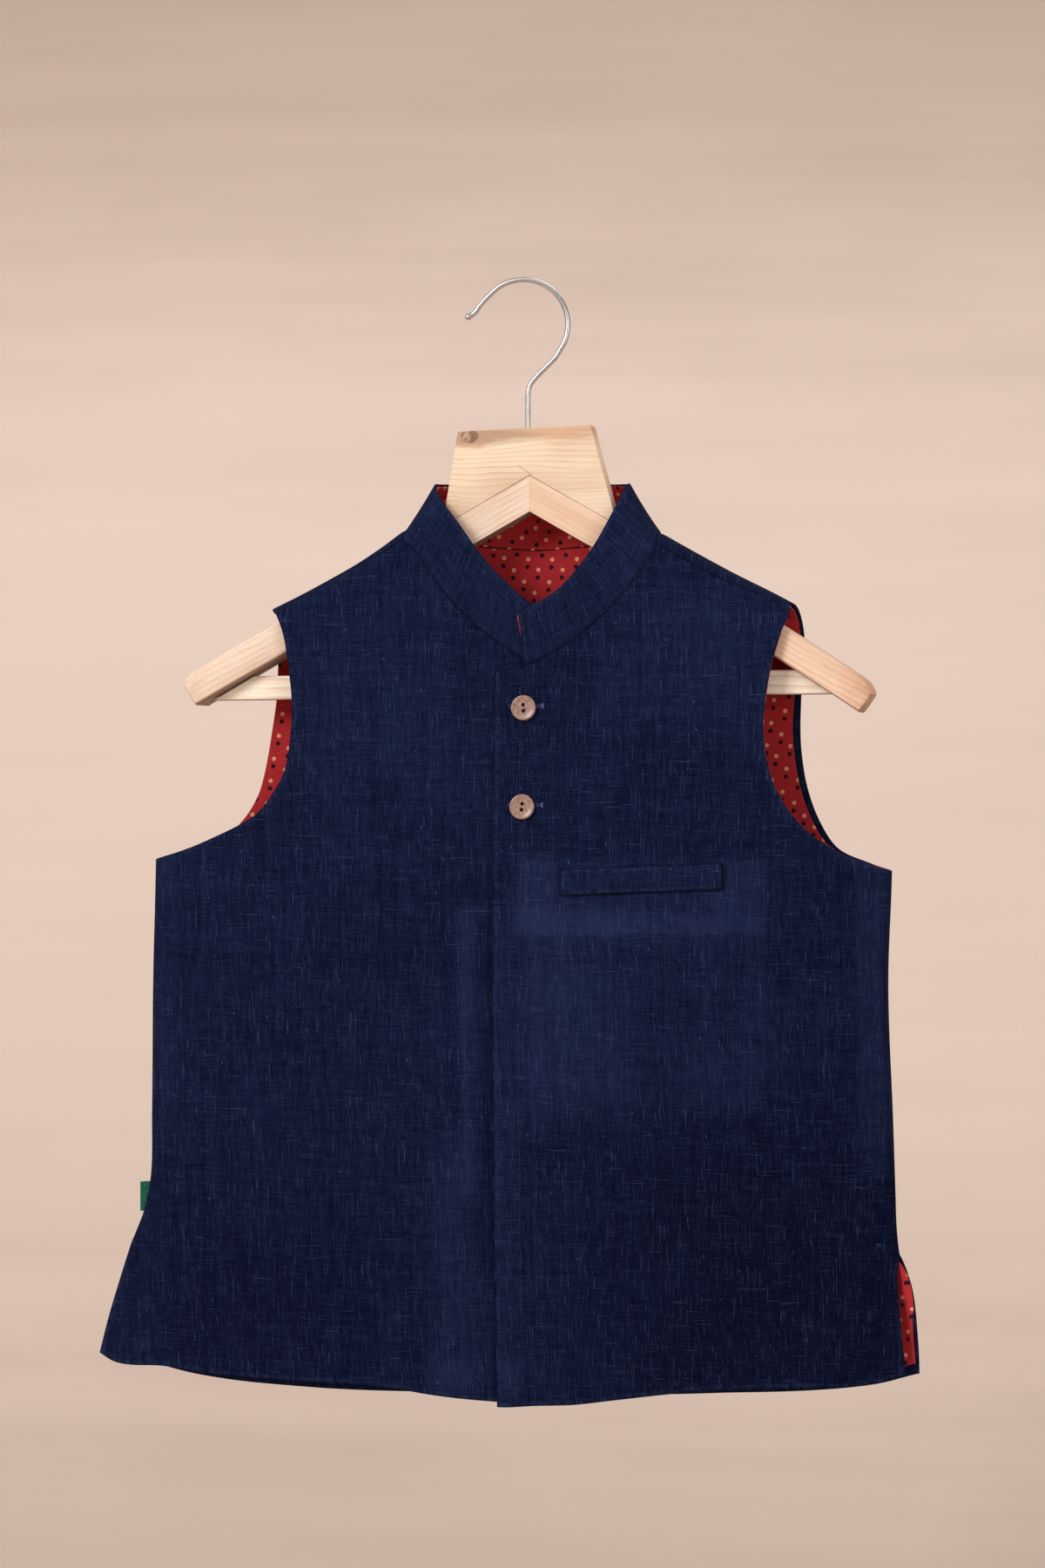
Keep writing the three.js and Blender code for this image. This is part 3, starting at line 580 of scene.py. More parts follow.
RIGHT_BACK = HalfPattern(
    face=Face.BACK,
    right=True,
    middle=(CENTRE_X, BACK_NECK_Z),
    slit=((-249, -619), (-244, -600), (-238, -577), (-232, SLIT_TOP)),
    lower=ARM_RIGHT_BACK_LOWER,
    upper=ARM_RIGHT_BACK_UPPER,
    neck=((CENTRE_X, BACK_NECK_Z), (-25, -151.2), (-48, -146.5), (-60, -141)),
)
LEFT_BACK = HalfPattern(
    face=Face.BACK,
    right=False,
    middle=(CENTRE_X, BACK_NECK_Z),
    slit=((227.5, -620), (226.8, -600), (224.6, -577), (221.0, -563), (216.8, SLIT_TOP)),
    lower=ARM_LEFT_BACK_LOWER,
    upper=ARM_LEFT_BACK_UPPER,
    neck=((CENTRE_X, BACK_NECK_Z), (33, -151.6), (58, -148), (72, -145.5)),
)

HALVES = (RIGHT_FRONT, LEFT_FRONT, RIGHT_BACK, LEFT_BACK)
ROW_TOTAL = sum(zone.value for zone in Zone)
SIDE_FINENESS = 1.45


class PatternGrid:
    """Lays a plain grid on one half of a panel, finer towards its side."""

    def __init__(self, form: ClothForm, half: HalfPattern, inset: Inset = Inset()) -> None:
        """Works out the panel's edges once.

        Args:
            form: The hung form.
            half: The half of the panel.
            inset: How far its free edges are drawn in.
        """
        self.form = form
        self.half = half
        self.inset = inset
        self.edges = half.stretches(form)

    def ends_of(self, row: float) -> tuple[Zone, float, Point, Point]:
        """Gives a row's stretch, its share of it, and the row's two ends on the pattern."""
        count = row * ROW_TOTAL
        for zone in Zone:
            if count <= zone.value + 1e-6 or zone is Zone.SHOULDER:
                break
            count -= zone.value
        share = min(1.0, count / zone.value)
        inner, outer = self.edges[zone]
        start, finish = Vector(inner.at(share)), Vector(outer.at(share))
        if zone is Zone.SIDE:
            finish.x = self.half.side_fold(self.form, finish.y)
        across = (finish - start).normalized()
        arm_hold = {Zone.CHEST: min(1.0, share * 3), Zone.SHOULDER: 1 - share}.get(zone, 0.0)
        draw = self.inset.slit if zone is Zone.SLIT and share < 1 else arm_hold * self.inset.armhole
        start += across * self.inset.front
        finish -= across * draw
        return zone, share, (start.x, start.y), (finish.x, finish.y)

    def place(self, column: float, ends: tuple[Zone, float, Point, Point]) -> Point:
        """Gives a place on the flat pattern.

        Args:
            column: 0 at the middle of the body and 1 at its side.
            ends: The row, as ends_of gives it.

        Returns:
            The place across and up.
        """
        zone, share, start, finish = ends
        x = mix(start[0], finish[0], column)
        up = mix(start[1], finish[1], column)

        def bow(line: Callable[[float], float]) -> float:
            """Gives how far a curved edge lies from the straight line between its ends."""
            return line(x) - mix(line(start[0]), line(finish[0]), column)

        if zone is Zone.SLIT:
            from_corner = (x - self.half.middle[0]) / self.half.corner_wide
            corner = self.half.corner_drop * math.exp(-from_corner * from_corner)
            up += (1 - share) * (bow(self.form.hems[self.half.face]) + self.inset.hem - corner)
        if zone is Zone.SHOULDER and share > 0:
            up += share**2 * bow(lambda at: self.form.seam_up(self.half.face, at))
        return x, up

    def on_form(self, column: float, ends: tuple[Zone, float, Point, Point]) -> Vector:
        """Gives a place of the pattern on the hung form."""
        x, up = self.place(column, ends)
        return self.form.point(self.half.face, x, up, self.half.under)

    def lay(self, bm: bmesh.types.BMesh, columns: int, rows: int) -> None:
        """Adds the half's cells to a mesh, with its pattern place kept at each point.

        Args:
            bm: The mesh to add to, in millimetres.
            columns: How many cells lie across.
            rows: How many cells lie from the hem to the shoulder.
        """
        pattern = bm.verts.layers.float_vector["pattern"]
        by_row = [self.ends_of(number / rows) for number in range(rows + 1)]
        made = unit_grid(bm, columns, rows)
        for vert, across, upwards in made:
            finer = 1 - (1 - across) ** SIDE_FINENESS
            x, up = self.place(finer, by_row[round(upwards * rows)])
            vert[pattern] = Vector((x, up, 0.0))
            vert.co = self.form.point(self.half.face, x, up, self.half.under)
        faces = list({face for vert, _, _ in made for face in vert.link_faces})
        if self.half.right == (self.half.face is Face.FRONT):
            bmesh.ops.reverse_faces(bm, faces=faces)


# Meshes and pieces


def new_bmesh() -> bmesh.types.BMesh:
    """Starts a mesh whose points can keep a place on the flat pattern."""
    bm = bmesh.new()
    bm.verts.layers.float_vector.new("pattern")
    return bm


def unit_grid(
    bm: bmesh.types.BMesh, columns: int, rows: int
) -> list[tuple[bmesh.types.BMVert, float, float]]:
    """Adds a plain grid and gives its points, each with its share across and up."""
    made = bmesh.ops.create_grid(bm, x_segments=columns, y_segments=rows, size=1.0)["verts"]
    return [(vert, (vert.co.x + 1) / 2, (vert.co.y + 1) / 2) for vert in made]


def draw_in(bm: bmesh.types.BMesh, distance: float) -> None:
    """Moves a sheet inwards."""
    for vert in bm.verts:
        vert.co -= vert.normal * distance


def face_outwards(bm: bmesh.types.BMesh, outward: float) -> None:
    """Turns a sheet's faces round if they point inwards, which a number below 0 says."""
    if outward < 0:
        bmesh.ops.reverse_faces(bm, faces=bm.faces)
        bm.normal_update()


def loft(bm: bmesh.types.BMesh, sections: Sequence[Sequence[Vector]]) -> None:
    """Spans closed sections one after the other and closes both ends.

    Args:
        bm: The mesh to add to.
        sections: The points round each section.
    """
    rings = [[bm.verts.new(place) for place in section] for section in sections]
    loops = [[bm.edges.new(pair) for pair in zip(ring, ring[1:] + ring[:1])] for ring in rings]
    made = []
    for low, high in zip(loops, loops[1:]):
        made += bmesh.ops.bridge_loops(bm, edges=low + high)["faces"]
    made += [bm.faces.new(rings[0]), bm.faces.new(rings[-1])]
    bmesh.ops.recalc_face_normals(bm, faces=made)


def tube(bm: bmesh.types.BMesh, path: Sequence[Vector], radii: Sequence[float], sides: int) -> None:
    """Draws a round tube along a path and closes both ends.

    Args:
        bm: The mesh to add to.
        path: The places that the tube's middle goes through.
        radii: Its radius at each place.
        sides: How many sides it has.
    """
    sections = []
    side = Vector((0, 1, 0))
    for i, place in enumerate(path):
        before, after = path[max(0, i - 1)], path[min(len(path) - 1, i + 1)]
        along = (after - before).normalized()
        side = side - along * side.dot(along)
        side = side.normalized() if side.length > 1e-4 else along.orthogonal().normalized()
        turned = along.cross(side)
        angles = [2 * math.pi * s / sides for s in range(sides)]
        sections.append([place + (side * math.cos(a) + turned * math.sin(a)) * radii[i] for a in angles])
    loft(bm, sections)


def lay_uv(bm: bmesh.types.BMesh) -> None:
    """Copies each point's pattern place to the UV map, in metres."""
    pattern = bm.verts.layers.float_vector["pattern"]
    uv = bm.loops.layers.uv.new("UVMap")
    for face in bm.faces:
        for loop in face.loops:
            loop[uv].uv = loop.vert[pattern].xy * MM


def cut_area(bm: bmesh.types.BMesh) -> float:
    """Gives the flat area of the cut in square metres, from its pattern places."""
    pattern = bm.verts.layers.float_vector["pattern"]
    total = 0.0
    for face in bm.faces:
        corners = [vert[pattern] for vert in face.verts]
        turns = zip(corners, corners[1:] + corners[:1])
        total += abs(sum(a.x * b.y - b.x * a.y for a, b in turns)) / 2
    return total * MM * MM


def keep_distance(
    bm: bmesh.types.BMesh, name: str, places: Sequence[Vector], reach: float = 40.0
) -> None:
    """Keeps each point's distance to the nearest of some places, in millimetres.

    Args:
        bm: The mesh, in millimetres.
        name: The attribute that keeps the distance.
        places: Places along a seam or an edge.
        reach: The most that is kept.
    """
    layer = bm.verts.layers.float.new(name)
    tree = kdtree.KDTree(max(1, len(places)))
    for index, place in enumerate(places):
        tree.insert(place, index)
    tree.balance()
    for vert in bm.verts:
        vert[layer] = min(reach, tree.find(vert.co)[2]) if places else reach


def mesh_of(name: str, bm: bmesh.types.BMesh, smooth: bool = True) -> bpy.types.Mesh:
    """Makes a mesh of what was modelled, and frees that."""
    mesh = bpy.data.meshes.new(name)
    bm.to_mesh(mesh)
    bm.free()
    if smooth:
        mesh.polygons.foreach_set("use_smooth", [True] * len(mesh.polygons))
    return mesh


def placed(name: str, data: bpy.types.ID) -> bpy.types.Object:
    """Puts a mesh, a light or a camera into the scene."""
    holder = bpy.data.objects.new(name, data)
    bpy.context.scene.collection.objects.link(holder)
    return holder


def new_piece(
    name: str,
    bm: bmesh.types.BMesh,
    finish: bpy.types.Material,
    nodes: Sequence[str] = (),
    sharp: float = 40.0,
) -> bpy.types.Object:
    """Turns a mesh in millimetres into a piece that rides on the body.

    Args:
        name: The piece's name.
        bm: Its mesh, which is freed.
        finish: Its material.
        nodes: The solids that it stands for.
        sharp: Edges that turn by more than this many degrees are drawn sharp.

    Returns:
        The piece.
    """
    bmesh.ops.scale(bm, vec=Vector((MM, MM, MM)), verts=bm.verts)
    mesh = mesh_of(name, bm)
    mesh.set_sharp_from_angle(angle=math.radians(sharp))
    mesh.materials.append(finish)
    piece = placed(name, mesh)
    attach(piece, BODY)
    if nodes:
        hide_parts(*nodes)
    return piece


def thicken(piece: bpy.types.Object, thickness: float, roll: float, steps: int = 2) -> None:
    """Gives a sheet its thickness inwards, with rolled edges.

    Args:
        piece: The sheet, whose faces point outwards.
        thickness: The cloth's thickness in millimetres.
        roll: The radius of its rolled edges in millimetres.
        steps: How many faces round each edge.
    """
    wall = piece.modifiers.new("thickness", "SOLIDIFY")
    wall.thickness = thickness * MM
    wall.offset = -1.0
    wall.use_even_offset = False
    rounding = piece.modifiers.new("rolled_edges", "BEVEL")
    rounding.width = roll * MM
    rounding.segments = steps
    rounding.limit_method = "ANGLE"
    rounding.angle_limit = math.radians(ROLL_ANGLE)
    rounding.harden_normals = False


def applied(piece: bpy.types.Object) -> None:
    """Bakes a piece's modifiers into its mesh."""
    graph = bpy.context.evaluated_depsgraph_get()
    made = bpy.data.meshes.new_from_object(piece.evaluated_get(graph))
    made.name = piece.name
    piece.modifiers.clear()
    piece.data = made


# Shader nodes


@dataclass(frozen=True)
class Streaks:
    """Noise drawn out along the cloth: its cells to the millimetre across and up."""

    across: float
    up: float
    shift: float
    detail: float = 0.0


# The layers of the woven cloth
FINE_UP, FINE_ACROSS = Streaks(1.7, 0.08, 0, 1), Streaks(0.08, 1.7, 40, 1)
BROAD_UP, BROAD_ACROSS = Streaks(0.3, 0.01, 80, 2), Streaks(0.01, 0.25, 120, 2)
LINES_UP, LINES_ACROSS = Streaks(3.8, 0.05, 200), Streaks(0.045, 3.8, 240)
BREAKS_UP, BREAKS_ACROSS = Streaks(1.2, 0.14, 260), Streaks(0.14, 1.2, 300)
THICK_PLACES = Streaks(1.7, 0.35, 340)
STREAK_LEAN = 0.47


class Graph:
    """Adds nodes to one tree and links them by their sockets' names."""

    def __init__(self, tree: bpy.types.NodeTree) -> None:
        """Keeps the tree."""
        self.tree = tree

    def feed(self, socket: Socket, value: object) -> None:
        """Links a socket to another, or sets its value."""
        if isinstance(value, bpy.types.NodeSocket):
            self.tree.links.new(value, socket)
        else:
            socket.default_value = value

    def add(
        self, kind: str, inputs: dict[object, object] | None = None, **settings: object
    ) -> bpy.types.Node:
        """Adds a node.

        Args:
            kind: The node's type.
            inputs: Values or sockets by the input's name or number.
            **settings: The node's own settings.

        Returns:
            The node.
        """
        node = self.tree.nodes.new(kind)
        for name, value in settings.items():
            setattr(node, name, value)
        for key, value in (inputs or {}).items():
            self.feed(node.inputs[key], value)
        return node

    def math(self, operation: str, *values: object) -> Socket:
        """Adds a Math node and gives its result."""
        return self.add("ShaderNodeMath", dict(enumerate(values)), operation=operation).outputs[0]

    def plus(self, total: object, *others: object) -> Socket:
        """Adds numbers up."""
        for other in others:
            total = self.math("ADD", total, other)
        return total

    def times(self, product: object, *others: object) -> Socket:
        """Multiplies numbers."""
        for other in others:
            product = self.math("MULTIPLY", product, other)
        return product

    def minus(self, value: object, less: object) -> Socket:
        """Takes one number from another."""
        return self.math("SUBTRACT", value, less)

    def size(self, value: object) -> Socket:
        """Gives a number without its sign."""
        return self.math("ABSOLUTE", value)

    def vector(self, operation: str, *values: object) -> Socket:
        """Adds a Vector Math node and gives its result, a number for a length or a dot product."""
        node = self.add("ShaderNodeVectorMath", dict(enumerate(values)), operation=operation)
        return node.outputs["Value" if operation in ("DOT_PRODUCT", "LENGTH") else "Vector"]

    def scaled(self, vector: object, by: float | Socket) -> Socket:
        """Multiplies a vector by one number."""
        return self.add("ShaderNodeVectorMath", {0: vector, "Scale": by}, operation="SCALE").outputs[0]

    def millimetres(self, metres: object) -> Socket:
        """Turns a place in metres into millimetres."""
        return self.scaled(metres, 1 / MM)

    def stretched(self, vector: object, factors: Sequence[float]) -> Socket:
        """Multiplies each part of a vector by its own factor."""
        return self.vector("MULTIPLY", vector, tuple(factors))

    def axis(self, vector: object, number: int) -> Socket:
        """Gives one part of a vector."""
        return self.add("ShaderNodeSeparateXYZ", {0: vector}).outputs[number]

    def combined(self, *parts: object) -> Socket:
        """Makes a vector of its parts."""
        return self.add("ShaderNodeCombineXYZ", dict(enumerate(parts))).outputs[0]

    def blend(self, share: object, start: object, end: object, blend_type: str = "MIX") -> Socket:
        """Mixes two colours."""
        inputs = {0: share, 6: start, 7: end}
        return self.add("ShaderNodeMix", inputs, data_type="RGBA", blend_type=blend_type).outputs[2]

    def between(
        self, value: object, low: object, high: object, start: float = 0.0, end: float = 1.0
    ) -> Socket:
        """Eases from start to end while a value goes from low to high."""
        inputs = {"Value": value, "From Min": low, "From Max": high, "To Min": start, "To Max": end}
        return self.add("ShaderNodeMapRange", inputs, interpolation_type="SMOOTHSTEP").outputs[0]

    def noise(
        self, vector: object, scale: float = 1.0, detail: float = 2.0, roughness: float = 0.5
    ) -> Socket:
        """Adds a noise texture and gives its value."""
        inputs = {"Vector": vector, "Scale": scale, "Detail": detail, "Roughness": roughness}
        return self.add("ShaderNodeTexNoise", inputs, noise_dimensions="3D").outputs[0]

    def streaks(self, vector: object, layer: Streaks) -> Socket:
        """Adds noise that is drawn out along the cloth, with its streaks out of step.

        Args:
            vector: The place on the cloth, in millimetres.
            layer: How the noise is drawn out.

        Returns:
            The noise's value.
        """
        moved = self.vector("ADD", vector, (layer.shift, layer.shift * 0.7, layer.shift * 0.3))
        x, y = self.times(self.axis(moved, 0), layer.across), self.times(self.axis(moved, 1), layer.up)
        if layer.across > layer.up:
            y = self.math("MULTIPLY_ADD", self.axis(moved, 0), layer.across * STREAK_LEAN, y)
        else:
            x = self.math("MULTIPLY_ADD", self.axis(moved, 1), layer.up * STREAK_LEAN, x)
        return self.noise(self.combined(x, y, self.axis(moved, 2)), detail=layer.detail)


def shader_group(
    name: str, inputs: dict[str, float | None], outputs: Sequence[str]
) -> tuple[bpy.types.NodeTree, Graph, bpy.types.bpy_prop_collection, bpy.types.bpy_prop_collection]:
    """Starts a shader node group that puts out numbers.

    Args:
        name: The group's name.
        inputs: Each input's name and first value, or None for a vector.
        outputs: Each output's name.

    Returns:
        The group, a graph on it, what it is given and what it puts out.
    """
    tree = bpy.data.node_groups.new(name, "ShaderNodeTree")
    for label, value in inputs.items():
        kind = "NodeSocketVector" if value is None else "NodeSocketFloat"
        socket = tree.interface.new_socket(name=label, in_out="INPUT", socket_type=kind)
        if value is not None:
            socket.default_value = value
    for label in outputs:
        tree.interface.new_socket(name=label, in_out="OUTPUT", socket_type="NodeSocketFloat")
    graph = Graph(tree)
    return tree, graph, graph.add("NodeGroupInput").outputs, graph.add("NodeGroupOutput").inputs


def handloom_weave() -> bpy.types.NodeTree:
    """Makes the group for plain weave with slubs in both directions.

    Returns:
        The group. Its Tone is about 0.65 on even cloth, Flecks are the pale and thick threads, and
        Height is the relief.
    """
    tree, g, given, out = shader_group(
        "HandloomWeave", {"Pattern": None, "Pitch": 0.58, "Shift": 0.0, "Wander": 2.2},
        ("Tone", "Flecks", "Height"),
    )
    at = g.vector("ADD", g.millimetres(given["Pattern"]), g.combined(given["Shift"], given["Shift"]))
    wander = g.times(g.minus(g.noise(at, 0.12, 2.0), 0.5), given["Wander"])
    at = g.vector("ADD", at, g.combined(wander, wander))
    turns = g.math("DIVIDE", math.pi, given["Pitch"])
    warp, weft = [g.math("SINE", g.times(g.axis(at, number), turns)) for number in (0, 1)]
    weave = g.times(warp, weft)
    over = g.between(weave, -0.25, 0.25)
    under = g.minus(1.0, over)

    fine_up, fine_across = g.streaks(at, FINE_UP), g.streaks(at, FINE_ACROSS)
    threads = g.plus(g.times(over, fine_up), g.times(under, fine_across))
    cloudy, specks = g.noise(at, 0.02, 3.0), g.noise(at, 2.0, 1.0)
    fine = g.plus(g.times(threads, 0.5), g.times(cloudy, 0.06), g.times(specks, 0.42))
    bands = g.plus(g.times(g.streaks(at, BROAD_UP), 0.15), g.times(g.streaks(at, BROAD_ACROSS), 0.09))
    rounding = g.times(g.minus(g.size(weave), 0.4), 0.22)
    g.feed(out["Tone"], g.plus(fine, bands, rounding))

    pale = []
    for lines, low, high, breaks, shown in (
        (LINES_UP, 0.65, 0.8, BREAKS_UP, over), (LINES_ACROSS, 0.69, 0.84, BREAKS_ACROSS, under),
    ):
        line = g.between(g.streaks(at, lines), low, high)
        broken = g.between(g.streaks(at, breaks), 0.42, 0.62)
        pale.append(g.times(line, broken, g.plus(shown, 0.3)))
    thick = g.between(g.streaks(at, THICK_PLACES), 0.83, 0.9)
    g.feed(out["Flecks"], g.math("MAXIMUM", g.times(g.math("MAXIMUM", *pale), 0.6), thick))
    g.feed(out["Height"], g.plus(g.times(g.size(weave), 0.6), g.times(g.plus(fine_up, fine_across), 0.6)))
    return tree


def printed_dots() -> bpy.types.NodeTree:
    """Makes the group for round dots on a slanting lattice, each a little out of place.

    Returns:
        The group, whose Mask is 1 inside a dot.
    """
    vectors = ("Pattern", "First Step", "Second Step", "First Count", "Second Count", "Offset")
    tree, g, given, out = shader_group(
        "PrintedDots", {**dict.fromkeys(vectors), "Radius": 1.5}, ("Mask",)
    )
    at = g.vector("SUBTRACT", g.millimetres(given["Pattern"]), given["Offset"])
    cells, parts = [], []
    for step, count in (("First Step", "First Count"), ("Second Step", "Second Count")):
        number = g.vector("DOT_PRODUCT", at, given[count])
        cells.append(g.math("ROUND", number))
        parts.append(g.scaled(given[step], g.minus(number, cells[-1])))
    noise = {"Vector": g.combined(*cells)}
    chance = g.add("ShaderNodeTexWhiteNoise", noise, noise_dimensions="3D").outputs["Color"]
    jitter = g.scaled(g.vector("SUBTRACT", chance, (0.5, 0.5, 0.5)), 1.1)
    flat = g.stretched(g.vector("ADD", g.vector("ADD", *parts), jitter), (1.0, 1.0, 0.0))
    rough = g.times(g.minus(g.noise(at, 1.3, 1.0), 0.5), 0.7)
    distance = g.plus(g.vector("LENGTH", flat), rough)
    inner, outer = g.minus(given["Radius"], 0.14), g.plus(given["Radius"], 0.14)
    g.feed(out["Mask"], g.between(distance, inner, outer, 1.0, 0.0))
    return tree


def wood_grain() -> bpy.types.NodeTree:
    """Makes the group for pale softwood, with its grain along the vector's X.

    Returns:
        The group. Late is the darker late wood, Fibre the fine streaks, and Height the relief.
    """
    tree, g, given, out = shader_group(
        "WoodGrain", {"Place": None, "Rings": 0.22, "Shift": 0.0, "Bend": 12.0},
        ("Late", "Fibre", "Height"),
    )
    moved = g.vector("ADD", g.millimetres(given["Place"]), g.combined(*[given["Shift"]] * 3))
    wander = g.noise(g.stretched(moved, (0.012, 0.05, 0.05)), detail=2.0)
    bend = g.times(g.minus(wander, 0.5), given["Bend"])
    layer = g.plus(g.axis(moved, 2), g.times(g.axis(moved, 1), 0.45), bend)
    late = g.math("POWER", g.math("FRACT", g.times(layer, given["Rings"])), 3.0)
    fibre = g.noise(g.stretched(moved, (0.05, 1.6, 1.6)), detail=3.0, roughness=0.6)
    g.feed(out["Late"], late)
    g.feed(out["Fibre"], fibre)
    g.feed(out["Height"], g.plus(g.times(late, 0.6), fibre))
    return tree


def soft_box() -> bpy.types.NodeTree:
    """Makes the group for a soft-edged rectangle on the pattern.

    Returns:
        The group, whose Mask is 1 inside the rectangle.
    """
    tree, g, given, out = shader_group(
        "SoftBox", {"Pattern": None, "Centre": None, "Half": None, "Soft": 4.0}, ("Mask",)
    )
    away = g.vector("SUBTRACT", g.millimetres(given["Pattern"]), given["Centre"])
    over = g.vector("SUBTRACT", g.vector("ABSOLUTE", away), given["Half"])
    outside = g.math("MAXIMUM", g.axis(over, 0), g.axis(over, 1))
    g.feed(out["Mask"], g.between(outside, g.times(given["Soft"], -1.0), given["Soft"], 1.0, 0.0))
    return tree


def edge_wear() -> bpy.types.NodeTree:
    """Makes the group for wear, painted seam shade and relief along pressed edges and seams.

    Returns:
        The group. Wear is patchy near an edge, Groove is the painted shade along a seam, and Height is
        the relief of the two.
    """
    tree, g, given, out = shader_group(
        "EdgeWear", {"Pattern": None, "Edge": 40.0, "Seam": 40.0}, ("Wear", "GrooveShade", "Height")
    )
    edge, seam = given["Edge"], given["Seam"]
    patchy = g.noise(g.millimetres(given["Pattern"]), 0.28, 3.0, 0.6)
    near = g.between(g.size(g.minus(edge, 1.7)), 0.2, 1.6, 1.0, 0.0)
    turned = g.between(edge, 8.0, 11.0, 1.0, 0.0)
    dip = g.between(seam, 0.0, 1.8, 1.0, 0.0)
    ridge = g.between(g.size(g.minus(seam, 5.5)), 0.0, 4.0, 1.0, 0.0)
    g.feed(out["Wear"], g.times(near, g.between(patchy, 0.4, 0.68)))
    # Painted shade: the line along a seam is drawn dark.
    g.feed(out["GrooveShade"], g.between(seam, 0.1, 1.25, 1.0, 0.0))
    g.feed(out["Height"], g.plus(g.times(dip, -1.0), g.times(ridge, 0.35), g.times(turned, 0.5)))
    return tree


@dataclass
class Effects:
    """The shared node groups, each built once."""

    weave: bpy.types.NodeTree = field(default_factory=handloom_weave)
    dots: bpy.types.NodeTree = field(default_factory=printed_dots)
    grain: bpy.types.NodeTree = field(default_factory=wood_grain)
    box: bpy.types.NodeTree = field(default_factory=soft_box)
    wear: bpy.types.NodeTree = field(default_factory=edge_wear)


class Finish:
    """A material in the making: a Principled shader and its output."""

    def __init__(self, name: str) -> None:
        """Starts an empty material.

        Args:
            name: The material's name.
        """
        self.material = bpy.data.materials.new(name)
        self.material.use_nodes = True
        self.material.node_tree.nodes.clear()
        self.graph = Graph(self.material.node_tree)
        self.shader = self.graph.add("ShaderNodeBsdfPrincipled")
        self.surface = self.graph.add("ShaderNodeOutputMaterial").inputs["Surface"]
        self.graph.feed(self.surface, self.shader.outputs[0])

    def group(self, tree: bpy.types.NodeTree, **inputs: object) -> bpy.types.bpy_prop_collection:
        """Places a shared group and gives its outputs. Input names use _ for a space."""
        named = {name.replace("_", " "): value for name, value in inputs.items()}
        return self.graph.add("ShaderNodeGroup", named, node_tree=tree).outputs

    def pattern(self) -> Socket:
        """Gives the piece's own UV map, in metres of its pattern."""
        return self.graph.add("ShaderNodeUVMap", uv_map="UVMap").outputs[0]

    def place(self) -> Socket:
        """Gives Object coordinates, in metres."""
        return self.graph.add("ShaderNodeTexCoord").outputs["Object"]

    def place_mm(self) -> Socket:
        """Gives Object coordinates, in millimetres."""
        return self.graph.millimetres(self.place())

    def attribute(self, name: str) -> Socket:
        """Gives a number kept at the mesh's points."""
        return self.graph.add("ShaderNodeAttribute", attribute_name=name).outputs["Fac"]

    def bump(
        self, height: Socket, distance: float, strength: float = 1.0, normal: Socket | None = None
    ) -> Socket:
        """Adds a bump of a height in millimetres and gives its normal."""
        inputs = {"Height": height, "Distance": distance * MM, "Strength": strength}
        if normal is not None:
            inputs["Normal"] = normal
        return self.graph.add("ShaderNodeBump", inputs).outputs[0]

    def set(self, **inputs: object) -> None:
        """Sets or feeds the shader's inputs. Names use _ for a space."""
        for name, value in inputs.items():
            self.graph.feed(self.shader.inputs[name.replace("_", " ")], value)


@dataclass(frozen=True)
class ShadeAndTonePatch:
    """Painted highlight and shade of folds and fall-off, and uneven tone: middle, half size, softness,
    strength.
    """

    x: float
    up: float
    half_x: float
    half_up: float
    soft: float
    strength: float


# Painted highlights and shade on each panel: lit fold crests, shaded creases, the pocket bag's relief and
# the darker fall-off of the light towards the lower corners, mixed with uneven tone of the cloth.
LEFT_FRONT_SHADE_AND_TONE = (
    ShadeAndTonePatch(73, -352, 70, 21.5, 2.5, 0.3),
    ShadeAndTonePatch(34, -366, 33, 8, 4, 0.42),
    ShadeAndTonePatch(92, -367, 50, 4.5, 4, 0.4),
    ShadeAndTonePatch(12, -348, 11, 20, 5, 0.3),
    ShadeAndTonePatch(128, -350, 12, 16, 6, 0.25),
    ShadeAndTonePatch(75, -420, 71, 50, 3, 0.16),
    ShadeAndTonePatch(30, -420, 34, 60, 22, 0.3),
    ShadeAndTonePatch(-6, -500, 6, 130, 5, 0.2),
    ShadeAndTonePatch(14, -490, 3, 150, 4, 0.14),
    ShadeAndTonePatch(30, -440, 3, 100, 4, 0.12),
    ShadeAndTonePatch(118, -455, 24, 16, 8, 0.16),
    ShadeAndTonePatch(203, -410, 8, 100, 6, 0.55),
    ShadeAndTonePatch(100, -215, 45, 36, 24, 0.32),
    ShadeAndTonePatch(184, -627, 7, 3, 3, -0.5),
    ShadeAndTonePatch(-4, -628, 7, 11, 3, 0.4),
    ShadeAndTonePatch(150, -570, 90, 80, 50, -0.42),
    ShadeAndTonePatch(60, -388, 150, 4, 6, -0.12),
)
RIGHT_FRONT_SHADE_AND_TONE = (
    ShadeAndTonePatch(-27, -440, 5, 80, 5, 0.6),
    ShadeAndTonePatch(-36, -570, 13, 75, 10, 0.34),
    ShadeAndTonePatch(-46, -470, 3, 90, 5, 0.14),
    ShadeAndTonePatch(-38, -625, 14, 8, 6, 0.4),
    ShadeAndTonePatch(-211, -400, 6, 70, 6, 0.22),
    ShadeAndTonePatch(-120, -388, 110, 5, 6, -0.1),
    ShadeAndTonePatch(-70, -240, 50, 60, 50, 0.2),
    ShadeAndTonePatch(-190, -345, 30, 6, 8, 0.2),
    ShadeAndTonePatch(-150, -590, 70, 60, 50, -0.2),
)
BACK_SHADE_AND_TONE = (
    ShadeAndTonePatch(0, -430, 60, 90, 40, 0.12),
    ShadeAndTonePatch(120, -560, 40, 40, 25, 0.14),
    ShadeAndTonePatch(-130, -540, 36, 50, 25, 0.12),
    ShadeAndTonePatch(40, -300, 120, 6, 6, -0.2),
)


